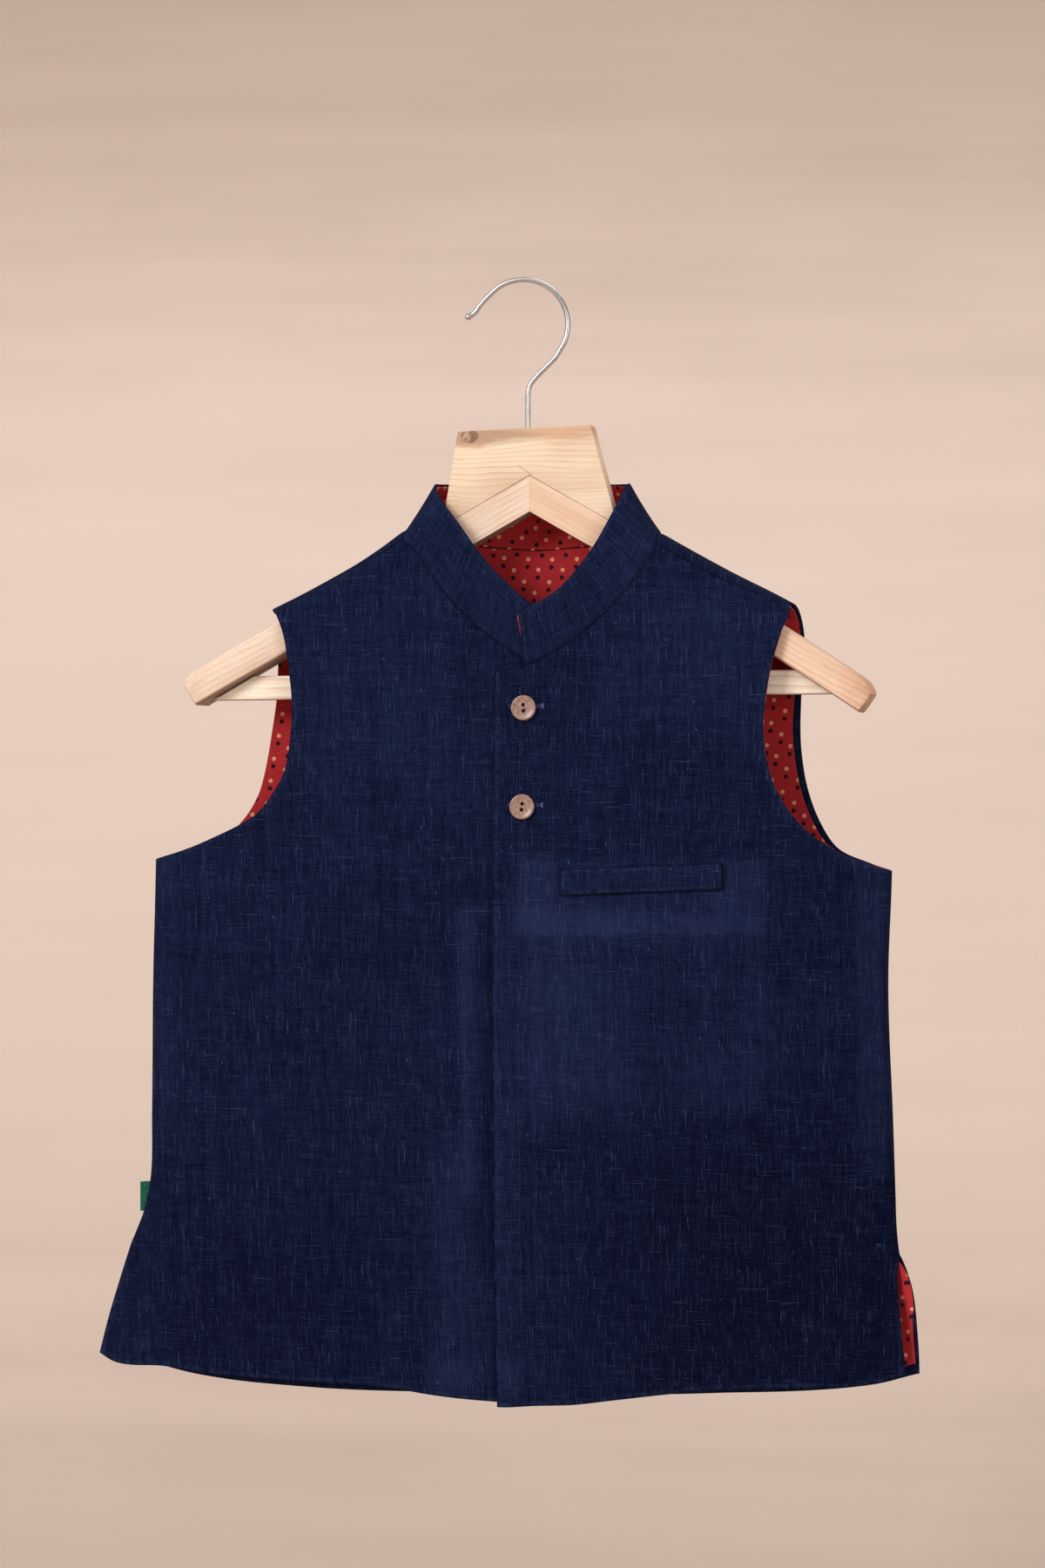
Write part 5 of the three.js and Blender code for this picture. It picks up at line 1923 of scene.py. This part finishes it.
@dataclass
class Buttons:
    """Two turned coconut buttons with two holes each, sewn on with brown-red thread."""

    form: ClothForm
    radius: float = 7.15
    thickness: float = 2.4
    rim: float = 1.3
    dish: float = 0.5
    hole_radius: float = 1.12
    hole_pitch: float = 3.4
    sharp: float = 32.0
    strand: float = 0.3
    strand_shifts: tuple[float, ...] = (-0.42, 0.0, 0.4)
    sunk: float = 0.9
    places: tuple[tuple[str, float, float, float], ...] = (
        ("button_upper", 5.3, -244.8, 3.0),
        ("button_lower", 4.9, -301.0, -4.0),
    )

    def profile(self) -> list[Point]:
        """Gives half of the button's section: radius and height above its back."""
        r, top, inner = self.radius, self.thickness, self.radius - self.rim
        return [
            (0, 0), (r - 1.2, 0), (r - 0.35, 0.35), (r, 1.0), (r, top - 0.75), (r - 0.25, top - 0.25),
            (r - 0.8, top), (inner, top - 0.08), (inner - 0.7, top - self.dish * 0.85),
            (r * 0.45, top - self.dish), (0, top - self.dish * 1.05),
        ]

    def disc(self) -> bmesh.types.BMesh:
        """Turns the section about its axis."""
        bm = bmesh.new()
        verts = [bm.verts.new((r, 0, h)) for r, h in self.profile()]
        edges = [bm.edges.new(pair) for pair in zip(verts, verts[1:])]
        bmesh.ops.spin(
            bm, geom=verts + edges, cent=(0, 0, 0), axis=(0, 0, 1), angle=2 * math.pi, steps=72,
            use_merge=True,
        )
        bmesh.ops.remove_doubles(bm, verts=bm.verts, dist=0.001)
        bmesh.ops.recalc_face_normals(bm, faces=bm.faces)
        return bm

    def pin(self, side: int) -> bmesh.types.BMesh:
        """Makes the cutter of one hole."""
        bm = bmesh.new()
        bmesh.ops.create_cone(
            bm, cap_ends=True, segments=28, radius1=self.hole_radius, radius2=self.hole_radius, depth=12,
            matrix=Matrix.Translation((0, side * self.hole_pitch / 2, 1)),
        )
        return bm

    def seat(self, x: float, z: float, turn: float) -> Matrix:
        """Gives where a button lies: flat on the cloth, turned a little about its own axis.

        Args:
            x: Its middle across.
            z: The height of its middle.
            turn: How far it is turned, in degrees.

        Returns:
            The button's place.
        """
        middle = self.form.point(Face.FRONT, x, z)
        above = self.form.point(Face.FRONT, x, z + self.radius)
        below = self.form.point(Face.FRONT, x, z - self.radius)
        tilt = math.atan2(above.y - below.y, above.z - below.z)
        y = min(middle.y, (above.y + below.y) / 2) - 0.3
        stand = Matrix.Rotation(math.pi / 2 - tilt, 4, "X")
        spin = Matrix.Rotation(math.radians(turn), 4, "Z")
        return Matrix.Translation((x, y, z)) @ stand @ spin

    def build(self, finish: bpy.types.Material, thread: bpy.types.Material) -> None:
        """Builds the buttons and the thread in their holes.

        Args:
            finish: The coconut shell.
            thread: The thread.
        """
        for name, x, z, turn in self.places:
            place = self.seat(x, z, turn)
            bm = self.disc()
            bm.transform(place)
            button = new_piece(name, bm, finish, [name], self.sharp)
            cutters = []
            for side in (-1, 1):
                cut = self.pin(side)
                cut.transform(Matrix.Scale(MM, 4) @ place)
                cutter = placed("hole", mesh_of("hole", cut, smooth=False))
                hole = button.modifiers.new("hole", "BOOLEAN")
                hole.operation = "DIFFERENCE"
                hole.solver = "EXACT"
                hole.object = cutter
                cutters.append(cutter)
            applied(button)
            for cutter in cutters:
                bpy.data.objects.remove(cutter)
            button.data.set_sharp_from_angle(angle=math.radians(self.sharp))
            self.strands(name + "_thread", place, thread)
            log.info("%s", name)

    def strands(self, name: str, place: Matrix, finish: bpy.types.Material) -> None:
        """Sews a button on: strands of thread go down both holes."""
        top = self.thickness - self.dish - self.sunk
        half = self.hole_pitch / 2
        bm = bmesh.new()
        for side in (-half, half):
            for shift in self.strand_shifts:
                path = [
                    (shift, side, -0.3), (shift * 0.8, side * 0.98, top * 0.5),
                    (shift * 0.5, side * 0.93, top),
                ]
                tube(bm, Spline(path).spaced(8), [self.strand] * 8 + [self.strand * 0.4], 8)
        bm.transform(place)
        new_piece(name, bm, finish)


@dataclass
class Stitching:
    """Buttonholes and the stitch line beside the front edge."""

    form: ClothForm
    placket_x: float = 2.9
    placket_top: float = -262.0
    placket_foot: float = -634.0
    stitch_step: float = 2.9
    stitch_long: float = 2.1
    thread_radius: float = 0.16
    hole_from: float = -3.6
    hole_to: float = 15.6
    hole_lift: float = 1.7
    whip_step: float = 0.95
    whip_reach: float = 1.15
    whip_radii: tuple[float, ...] = (0.12, 0.14, 0.11)
    tack_step: float = 0.42
    tack_radii: tuple[float, ...] = (0.13, 0.18, 0.13)
    tack_bends: tuple[tuple[float, float, float], ...] = (
        (0.2, -1.5, -0.05), (0, -0.1, 0.25), (0.3, 1.4, -0.05),
    )

    def stitch(
        self,
        bm: bmesh.types.BMesh,
        start: Point,
        bends: Sequence[tuple[float, float, float]],
        radii: Sequence[float],
    ) -> None:
        """Lays one stitch on the left front.

        Args:
            bm: The mesh to add to.
            start: Where it starts, across and in height.
            bends: How far across, up and off the cloth each of its points lies from there.
            radii: The thread's radius at each point.
        """
        path = []
        for across, up, lift in bends:
            on_cloth = self.form.point(Face.FRONT, start[0] + across, start[1] + up)
            path.append(on_cloth - Vector((0, lift, 0)))
        tube(bm, path, radii, 5)

    def placket(self, finish: bpy.types.Material) -> None:
        """Sews the line that holds the front facing."""
        chance = random.Random(11)
        bm = bmesh.new()
        z = self.placket_top
        while z > self.placket_foot:
            long = self.stitch_long * chance.uniform(0.9, 1.08)
            x = self.placket_x + chance.uniform(-0.12, 0.12)
            bends = [(0, 0, -0.25), (0, -0.3, 0.06), (0, -long / 2, 0.14), (0, 0.3 - long, 0.06)]
            self.stitch(bm, (x, z), [*bends, (0, -long, -0.25)], [self.thread_radius] * 5)
            z -= self.stitch_step
        new_piece("placket_stitches", bm, finish)
        log.info("placket_stitches")

    def buttonholes(self, finish: bpy.types.Material, levels: Sequence[float]) -> None:
        """Whips both buttonholes, which run out from under the buttons, and tacks their ends.

        Args:
            finish: The thread.
            levels: The heights of the buttonholes.
        """
        chance = random.Random(5)
        bm = bmesh.new()
        for level in levels:
            z = level + self.hole_lift
            x = self.hole_from
            while x < self.hole_to:
                reach = self.whip_reach * chance.uniform(0.85, 1.12)
                for side in (-1, 1):
                    lean = chance.uniform(0.1, 0.5)
                    out = side * reach
                    bends = [(0, side * 0.12, 0.05), (lean * 0.5, out * 0.5, 0.2), (lean, out, -0.05)]
                    self.stitch(bm, (x, z), bends, self.whip_radii)
                x += self.whip_step
            for i in range(3):
                start = (self.hole_to + i * self.tack_step, z)
                self.stitch(bm, start, self.tack_bends, self.tack_radii)
        new_piece("buttonhole_stitches", bm, finish)
        log.info("buttonhole_stitches")


@dataclass
class SideTab:
    """A short loop of plain tape, caught in the right side seam."""

    form: ClothForm
    top: float = -520.2
    height: float = 17.5
    reach: float = 4.8
    tape: float = 0.5
    gap: float = 0.2
    rows: int = 14

    def build(self, finish: bpy.types.Material) -> None:
        """Builds the folded tape."""
        half = self.gap / 2 + self.tape / 2
        profile = [(1.6, -half), (-self.reach * 0.5, -half), (-self.reach + half, -half)]
        for i in range(1, 8):
            turn = math.pi / 2 + math.pi * i / 8
            profile.append((-self.reach + half + half * math.cos(turn), -half * math.sin(turn)))
        profile += [(-self.reach + half, half), (-self.reach * 0.5, half), (1.6, half)]
        bm = bmesh.new()
        columns = len(profile) - 1
        edge = -self.form.section.all_at(self.top - self.height * 0.4)[0]
        for vert, across, share in unit_grid(bm, columns, self.rows):
            x, y = profile[round(across * columns)]
            z = self.top - self.height * (1 - share)
            sag = 0.9 * share * smoothstep(-x, 0, self.reach)
            vert.co = Vector((edge + x + 0.3, y, z - sag * 0.5))
        bmesh.ops.recalc_face_normals(bm, faces=bm.faces)
        tab = new_piece("side_label", bm, finish, ["side_label"], 60)
        thicken(tab, self.tape, 0.12)
        tab.modifiers["thickness"].offset = 0.0
        log.info("side_label")


# The hanger


@dataclass
class Hook:
    """The wire hook: a turned-out tip, a wide round arc, a slight S and a shank."""

    radius: float = 1.5
    arc_radius: float = 26.5
    shank_x: float = 3.2
    foot_z: float = -85.4
    bulb: float = 1.28

    def path(self) -> list[Vector]:
        """Gives the wire's middle line from its tip to its foot in the wood."""
        centre_z = self.radius - self.arc_radius
        arc = []
        for i in range(9):
            turn = math.radians(140 - i * 22.5)
            arc.append((self.arc_radius * math.cos(turn), 0, centre_z + self.arc_radius * math.sin(turn)))
        tip = [(-33.5, 0, -20.2), (-28, 0, -16.9), (-25.2, 0, -13.2)]
        bends = [(17.8, 0, -45.1), (6.6, 0, -56.2), (3.6, 0, -62)]
        shank = [(self.shank_x, 0, -70), (self.shank_x, 0, self.foot_z)]
        return Spline([*tip, *arc, *bends, *shank]).spaced(170)

    def build(self, finish: bpy.types.Material) -> None:
        """Builds the wire, with its tip swollen to a small bulb."""
        path = self.path()
        radii = []
        travelled = 0.0
        for i, place in enumerate(path):
            travelled += (place - path[i - 1]).length if i else 0.0
            swell = 1 + (self.bulb - 1) * math.exp(-(((travelled - 1.9) / 1.7) ** 2))
            cap = math.sqrt(max(0.02, 1 - (1 - min(1.0, travelled / 1.6)) ** 2))
            radii.append(self.radius * swell * cap)
        bm = bmesh.new()
        tube(bm, path, radii, 24)
        new_piece("hook", bm, finish, ["hook"])
        log.info("hook")


APEX_X, APEX_Z = 5.6, -111.5


@dataclass(frozen=True)
class Arm:
    """The sizes of one arm of the hanger."""

    name: str
    slope: float
    end: float
    side: int
    droop: float = 0.0

    def top(self, travelled: float) -> float:
        """Gives the height of its upper edge at a distance from the mitre."""
        return APEX_Z - self.slope * travelled - self.droop * max(0.0, travelled - 50) ** 2


ARM_RIGHT = Arm("hanger_arm_right", 0.562, -197.5, -1)
ARM_LEFT = Arm("hanger_arm_left", 0.575, 202.0, 1, 0.00034)


@dataclass
class Hanger:
    """The wooden hanger: a head board, two arms mitred at the top and a bar across."""

    head_thick: float = 16.0
    arm_height: float = 18.0
    depth_apex: float = 15.0
    depth_end: float = 31.0
    arm_edge: float = 2.2
    end_cut: float = 7.2
    tip_drop: float = 5.3
    wood_gap: float = 0.3
    joint_gap: float = 0.08
    bar_top: float = -224.4
    bar_height: float = 13.9
    bar_tilt: float = 0.006
    bar_depth: float = 11.0

    def prism(self, outline: Sequence[Point], thickness: float, ease: float) -> bmesh.types.BMesh:
        """Extrudes an outline in X and Z front to back and eases its edges.

        Args:
            outline: Its corners.
            thickness: How thick it is along Y.
            ease: The radius of its edges.

        Returns:
            The mesh.
        """
        bm = bmesh.new()
        face = bm.faces.new([bm.verts.new((x, -thickness / 2, z)) for x, z in outline])
        made = bmesh.ops.extrude_face_region(bm, geom=[face])
        moved = [part for part in made["geom"] if isinstance(part, bmesh.types.BMVert)]
        bmesh.ops.translate(bm, vec=(0, thickness, 0), verts=moved)
        bmesh.ops.recalc_face_normals(bm, faces=bm.faces)
        bmesh.ops.bevel(
            bm, geom=bm.edges[:], offset=ease, offset_type="OFFSET", affect="EDGES", segments=3,
            profile=0.5, material=-1, clamp_overlap=True,
        )
        return bm

    def head(self, finish: bpy.types.Material) -> None:
        """Builds the board that holds the hook and sits on the arms."""

        def notch(arm: Arm, x: float) -> float:
            """Gives the height of the notch that sits on an arm."""
            return APEX_Z - arm.slope * abs(x - APEX_X) + self.joint_gap

        outline = [
            (-36.4, -85.9), (-45.5, notch(ARM_RIGHT, -45.5)), (APEX_X, APEX_Z + self.joint_gap),
            (56.5, notch(ARM_LEFT, 56.5)), (41, -83.2), (24, -84.0), (6.2, -84.4), (0.2, -84.4),
            (-18, -85.2),
        ]
        bm = self.prism(outline, self.head_thick, 0.4)
        new_piece("hanger_head", bm, finish, ["hanger_head"], 30)
        log.info("hanger_head")

    def arm_ring(self, x: float, top: float, bottom: float, depth: float, edge: float) -> list[Vector]:
        """Gives the section of an arm: upright, with rounded corners.

        Args:
            x: Where the section lies.
            top: Its upper edge.
            bottom: Its lower edge.
            depth: Its size front to back.
            edge: The radius of its corners.

        Returns:
            Its points in order.
        """
        inner, high, low = depth / 2 - edge, top - edge, bottom + edge
        ring = []
        for quarter, (y, z) in enumerate(((inner, high), (-inner, high), (-inner, low), (inner, low))):
            for i in range(7):
                turn = math.radians(quarter * 90 + i * 15)
                ring.append(Vector((x, y + edge * math.cos(turn), z + edge * math.sin(turn))))
        return ring

    def arm(self, arm: Arm, finish: bpy.types.Material) -> None:
        """Builds an arm: it slopes down from the mitre, gets deeper and ends in a square cut.

        Args:
            arm: The arm's sizes.
            finish: The wood.
        """
        upright = self.arm_height * math.sqrt(1 + arm.slope**2)
        run = abs(arm.end - APEX_X)
        straight = run - self.end_cut
        steps = [i / 44 * straight for i in range(45)]
        steps += [straight + self.end_cut * math.sin(math.pi / 2 * i / 14) for i in range(1, 15)]
        low_corner, low_tip = arm.top(straight) - upright, arm.top(run) - self.tip_drop - 0.8
        sections = []
        for travelled in steps:
            x = APEX_X + arm.side * max(travelled, self.joint_gap / 2)
            share = travelled / run
            past = max(0.0, (travelled - straight) / self.end_cut)
            top = arm.top(travelled) - self.tip_drop * (1 - math.sqrt(max(0.0, 1 - past**2.6)))
            bottom = mix(low_corner, low_tip, past**1.15) if past > 0 else arm.top(travelled) - upright
            depth = mix(self.depth_apex, self.depth_end, share**1.5) - 3.0 * past**3
            edge = mix(0.4, self.arm_edge, smoothstep(share, 0.1, 0.6))
            sections.append(self.arm_ring(x, top, bottom, depth, min(edge, (top - bottom) * 0.46)))
        bm = bmesh.new()
        loft(bm, sections)
        new_piece(arm.name, bm, finish, [arm.name], 32)
        log.info("%s", arm.name)

    def bar(self, finish: bpy.types.Material) -> None:
        """Builds the bar let in between the arms' undersides."""
        lower = self.bar_top - self.bar_height
        outline = []
        for arm, levels in ((ARM_RIGHT, (self.bar_top, lower)), (ARM_LEFT, (lower, self.bar_top))):
            upright = self.arm_height * math.sqrt(1 + arm.slope**2)
            for z in levels:
                reach = (APEX_Z - upright - z - self.wood_gap) / arm.slope
                x = APEX_X + arm.side * reach
                outline.append((x, z + self.bar_tilt * x))
        bm = self.prism(outline, self.bar_depth, 1.2)
        new_piece("hanger_crossbar", bm, finish, ["hanger_crossbar"], 30)
        log.info("hanger_crossbar")


# Studio


@dataclass
class Studio:
    """A plain pale wall and floor, soft lights and the camera."""

    wall_y: float = 1.0
    floor_z: float = -1.05
    wide: float = 7.0
    tall: float = 5.0
    corner: float = 0.35
    wall_dark: Colour = srgb(190, 170, 156)
    wall_light: Colour = srgb(237, 217, 204)
    lamp_colour: tuple[float, float, float] = (1.0, 0.99, 0.98)
    sky_colour: Colour = (1.0, 0.985, 0.97, 1.0)
    camera_distance: float = 2.2
    camera_angle: float = 11.0
    camera_z: float = -0.288
    lens: float = 88.0

    def backdrop(self) -> None:
        """Builds the wall and floor as one sheet with a rounded corner."""
        bm = bmesh.new()
        bend_y, bend_z = self.wall_y - self.corner, self.floor_z + self.corner
        profile = [(-self.wide, self.floor_z), (bend_y, self.floor_z)]
        for i in range(1, 12):
            turn = math.radians(i * 7.5)
            profile.append((bend_y + self.corner * math.sin(turn), bend_z - self.corner * math.cos(turn)))
        profile += [(self.wall_y, bend_z), (self.wall_y, self.tall)]
        verts = [bm.verts.new((-self.wide, y, z)) for y, z in profile]
        edges = [bm.edges.new(pair) for pair in zip(verts, verts[1:])]
        made = bmesh.ops.extrude_edge_only(bm, edges=edges)["geom"]
        moved = [part for part in made if isinstance(part, bmesh.types.BMVert)]
        bmesh.ops.translate(bm, vec=(2 * self.wide, 0, 0), verts=moved)
        bm.normal_update()
        face_outwards(bm, -sum(face.normal.y for face in bm.faces))
        mesh = mesh_of("backdrop", bm)
        mesh.materials.append(self.wall_finish())
        wall = placed("backdrop", mesh)

    def wall_finish(self) -> bpy.types.Material:
        """Makes the wall's pale finish, which isn't seen from behind. Its painted light is brightest
        round the jacket's height.
        """
        finish = Finish("pale_wall")
        g = finish.graph
        at = finish.place_mm()
        bands = g.noise(g.stretched(at, (0.0016, 0.01, 0.02)), 1.0, 4.0, 0.55)
        cloudy = g.noise(at, 0.0035, 2.0)
        uneven = g.minus(g.plus(g.times(bands, 0.6), g.times(cloudy, 0.4)), 0.5)
        level, floor = g.axis(at, 2), self.floor_z / MM
        # Painted light: the wall is drawn lighter near the jacket's height and darker above and below it.
        middle = g.between(g.size(g.minus(level, -330.0)), 150.0, 900.0, 0.3, -0.3)
        on_wall = g.between(level, floor, floor + 250)
        share = g.plus(g.times(uneven, 0.4, on_wall), 0.5, g.times(middle, on_wall))
        colour = g.blend(g.between(share, 0.2, 0.9), self.wall_dark, self.wall_light)
        normal = finish.bump(g.noise(at, 0.5), 0.2, 0.3)
        finish.set(Base_Color=colour, Roughness=0.95, Normal=normal, Specular_IOR_Level=0.1)
        behind = g.add("ShaderNodeNewGeometry").outputs["Backfacing"]
        clear = g.add("ShaderNodeBsdfTransparent").outputs[0]
        both = g.add("ShaderNodeMixShader", {0: behind, 1: finish.shader.outputs[0], 2: clear})
        g.feed(finish.surface, both.outputs[0])
        return finish.material

    def light(
        self, name: str, place: Sequence[float], aim: Sequence[float], size: float, power: float
    ) -> None:
        """Adds a soft light.

        Args:
            name: Its name.
            place: Where it stands, in metres.
            aim: What it points at.
            size: The side of its square face.
            power: Its power in watts.
        """
        lamp = bpy.data.lights.new(name, "AREA")
        lamp.shape = "SQUARE"
        lamp.size = size
        lamp.energy = power
        lamp.color = self.lamp_colour
        holder = placed(name, lamp)
        holder.location = place
        holder.rotation_mode = "QUATERNION"
        holder.rotation_quaternion = (Vector(aim) - Vector(place)).to_track_quat("-Z", "Y")

    def build(self) -> None:
        """Builds the wall, the lights, the world and the camera."""
        self.backdrop()
        middle = (0.0, 0.0, -0.32)
        self.light("key", (-1.8, -2.4, 1.2), middle, 1.3, 74)
        self.light("fill", (2.2, -2.4, 0.2), middle, 2.0, 26)
        self.light("back", (0.6, 0.8, 1.7), middle, 1.2, 16)
        self.light("wall", (0.0, -0.9, 2.3), (0.0, 1.0, -0.3), 1.6, 6)
        world = bpy.data.worlds.new("studio")
        world.use_nodes = True
        sky = world.node_tree.nodes["Background"]
        sky.inputs["Color"].default_value = self.sky_colour
        sky.inputs["Strength"].default_value = 0.34
        scene = bpy.context.scene
        scene.world = world
        scene.view_settings.view_transform = "Standard"
        scene.view_settings.look = "None"
        self.camera()

    def camera(self) -> None:
        """Stands the camera level in front, turned a little to the wearer's left."""
        data = bpy.data.cameras.new("camera")
        data.lens = self.lens
        data.sensor_width = 36.0
        data.clip_start = 0.05
        data.clip_end = 50.0
        holder = placed("camera", data)
        turn = math.radians(self.camera_angle)
        away = self.camera_distance
        holder.location = (away * math.sin(turn), -away * math.cos(turn), self.camera_z)
        holder.rotation_euler = (math.pi / 2, 0, turn)
        bpy.context.scene.camera = holder


def save_size() -> None:
    """Updates the view layer.
    """
    bpy.context.view_layer.update()


def main() -> None:
    """Builds the pieces in order, then the studio."""
    logging.basicConfig(level=logging.INFO, format="%(name)s: %(message)s")
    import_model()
    effects = Effects()
    indigo = IndigoCotton()
    dots = DottedLining()
    wood = PaleWood()
    form = ClothForm()

    garment = Garment(form)
    garment.build_shell(
        {
            "front_right_panel": indigo.make("indigo_right_front", effects, RIGHT_FRONT_SHADE_AND_TONE),
            "front_left_panel": indigo.make("indigo_left_front", effects, LEFT_FRONT_SHADE_AND_TONE, 900.0),
            "back_panel": indigo.make("indigo_back", effects, BACK_SHADE_AND_TONE, 1700.0),
        }
    )
    body_lining = dots.make("dotted_lining", effects, (8.4, 6.4), (-6.0, 6.7), (-0.5, -4.4))
    facing = dots.make("dotted_facing", effects, (14.4, 0), (-7.4, 7), (5.7, -2.7))
    garment.build_lining(body_lining)
    collar_cloth = indigo.make("indigo_collar", effects, shift=2500.0, lift=0.037)
    Collar(form).build(collar_cloth, facing)
    ChestPocket(form).build(indigo.make("indigo_welt", effects, shift=3100.0, lift=0.03))

    button_thread = Thread("button_thread", srgb(96, 34, 34), srgb(52, 16, 18))
    Buttons(form).build(CoconutShell().make(), button_thread.make())
    navy_thread = Thread("navy_thread", srgb(44, 54, 92), srgb(18, 24, 50))
    pale_thread = Thread("lavender_thread", srgb(132, 124, 184), srgb(72, 70, 124))
    stitching = Stitching(form)
    stitching.placket(navy_thread.make())
    stitching.buttonholes(pale_thread.make(), [-245.4, -301.6])
    SideTab(form).build(GreenTape().make())

    Hook().build(SteelWire().make())
    hanger = Hanger()
    knot = (-29.4, -8.0, -88.8)
    hanger.head(wood.make("wood_head", effects, slope=0.03, shift=11.0, rings=0.34, knot=knot))
    for name, arm, shift, tint in (
        ("wood_arm_right", ARM_RIGHT, 60.0, (0.97, 0.98, 1.05, 1)),
        ("wood_arm_left", ARM_LEFT, 140.0, (0.98, 0.9, 0.88, 1)),
    ):
        slope = -arm.side * math.atan(arm.slope)
        hanger.arm(arm, wood.make(name, effects, slope, shift, 0.3, bend=7.0, tint=tint))
    # Painted light: the bar's wood is made paler and whiter, standing in for light that the shaded bar
    # doesn't get.
    bar_painted_light = (1.08, 1.2, 1.32, 1)
    hanger.bar(wood.make("wood_bar", effects, 0.0, 220.0, 0.2, bend=6.0, tint=bar_painted_light))
    Studio().build()
    save_size()


if __name__ == "__main__":
    main()
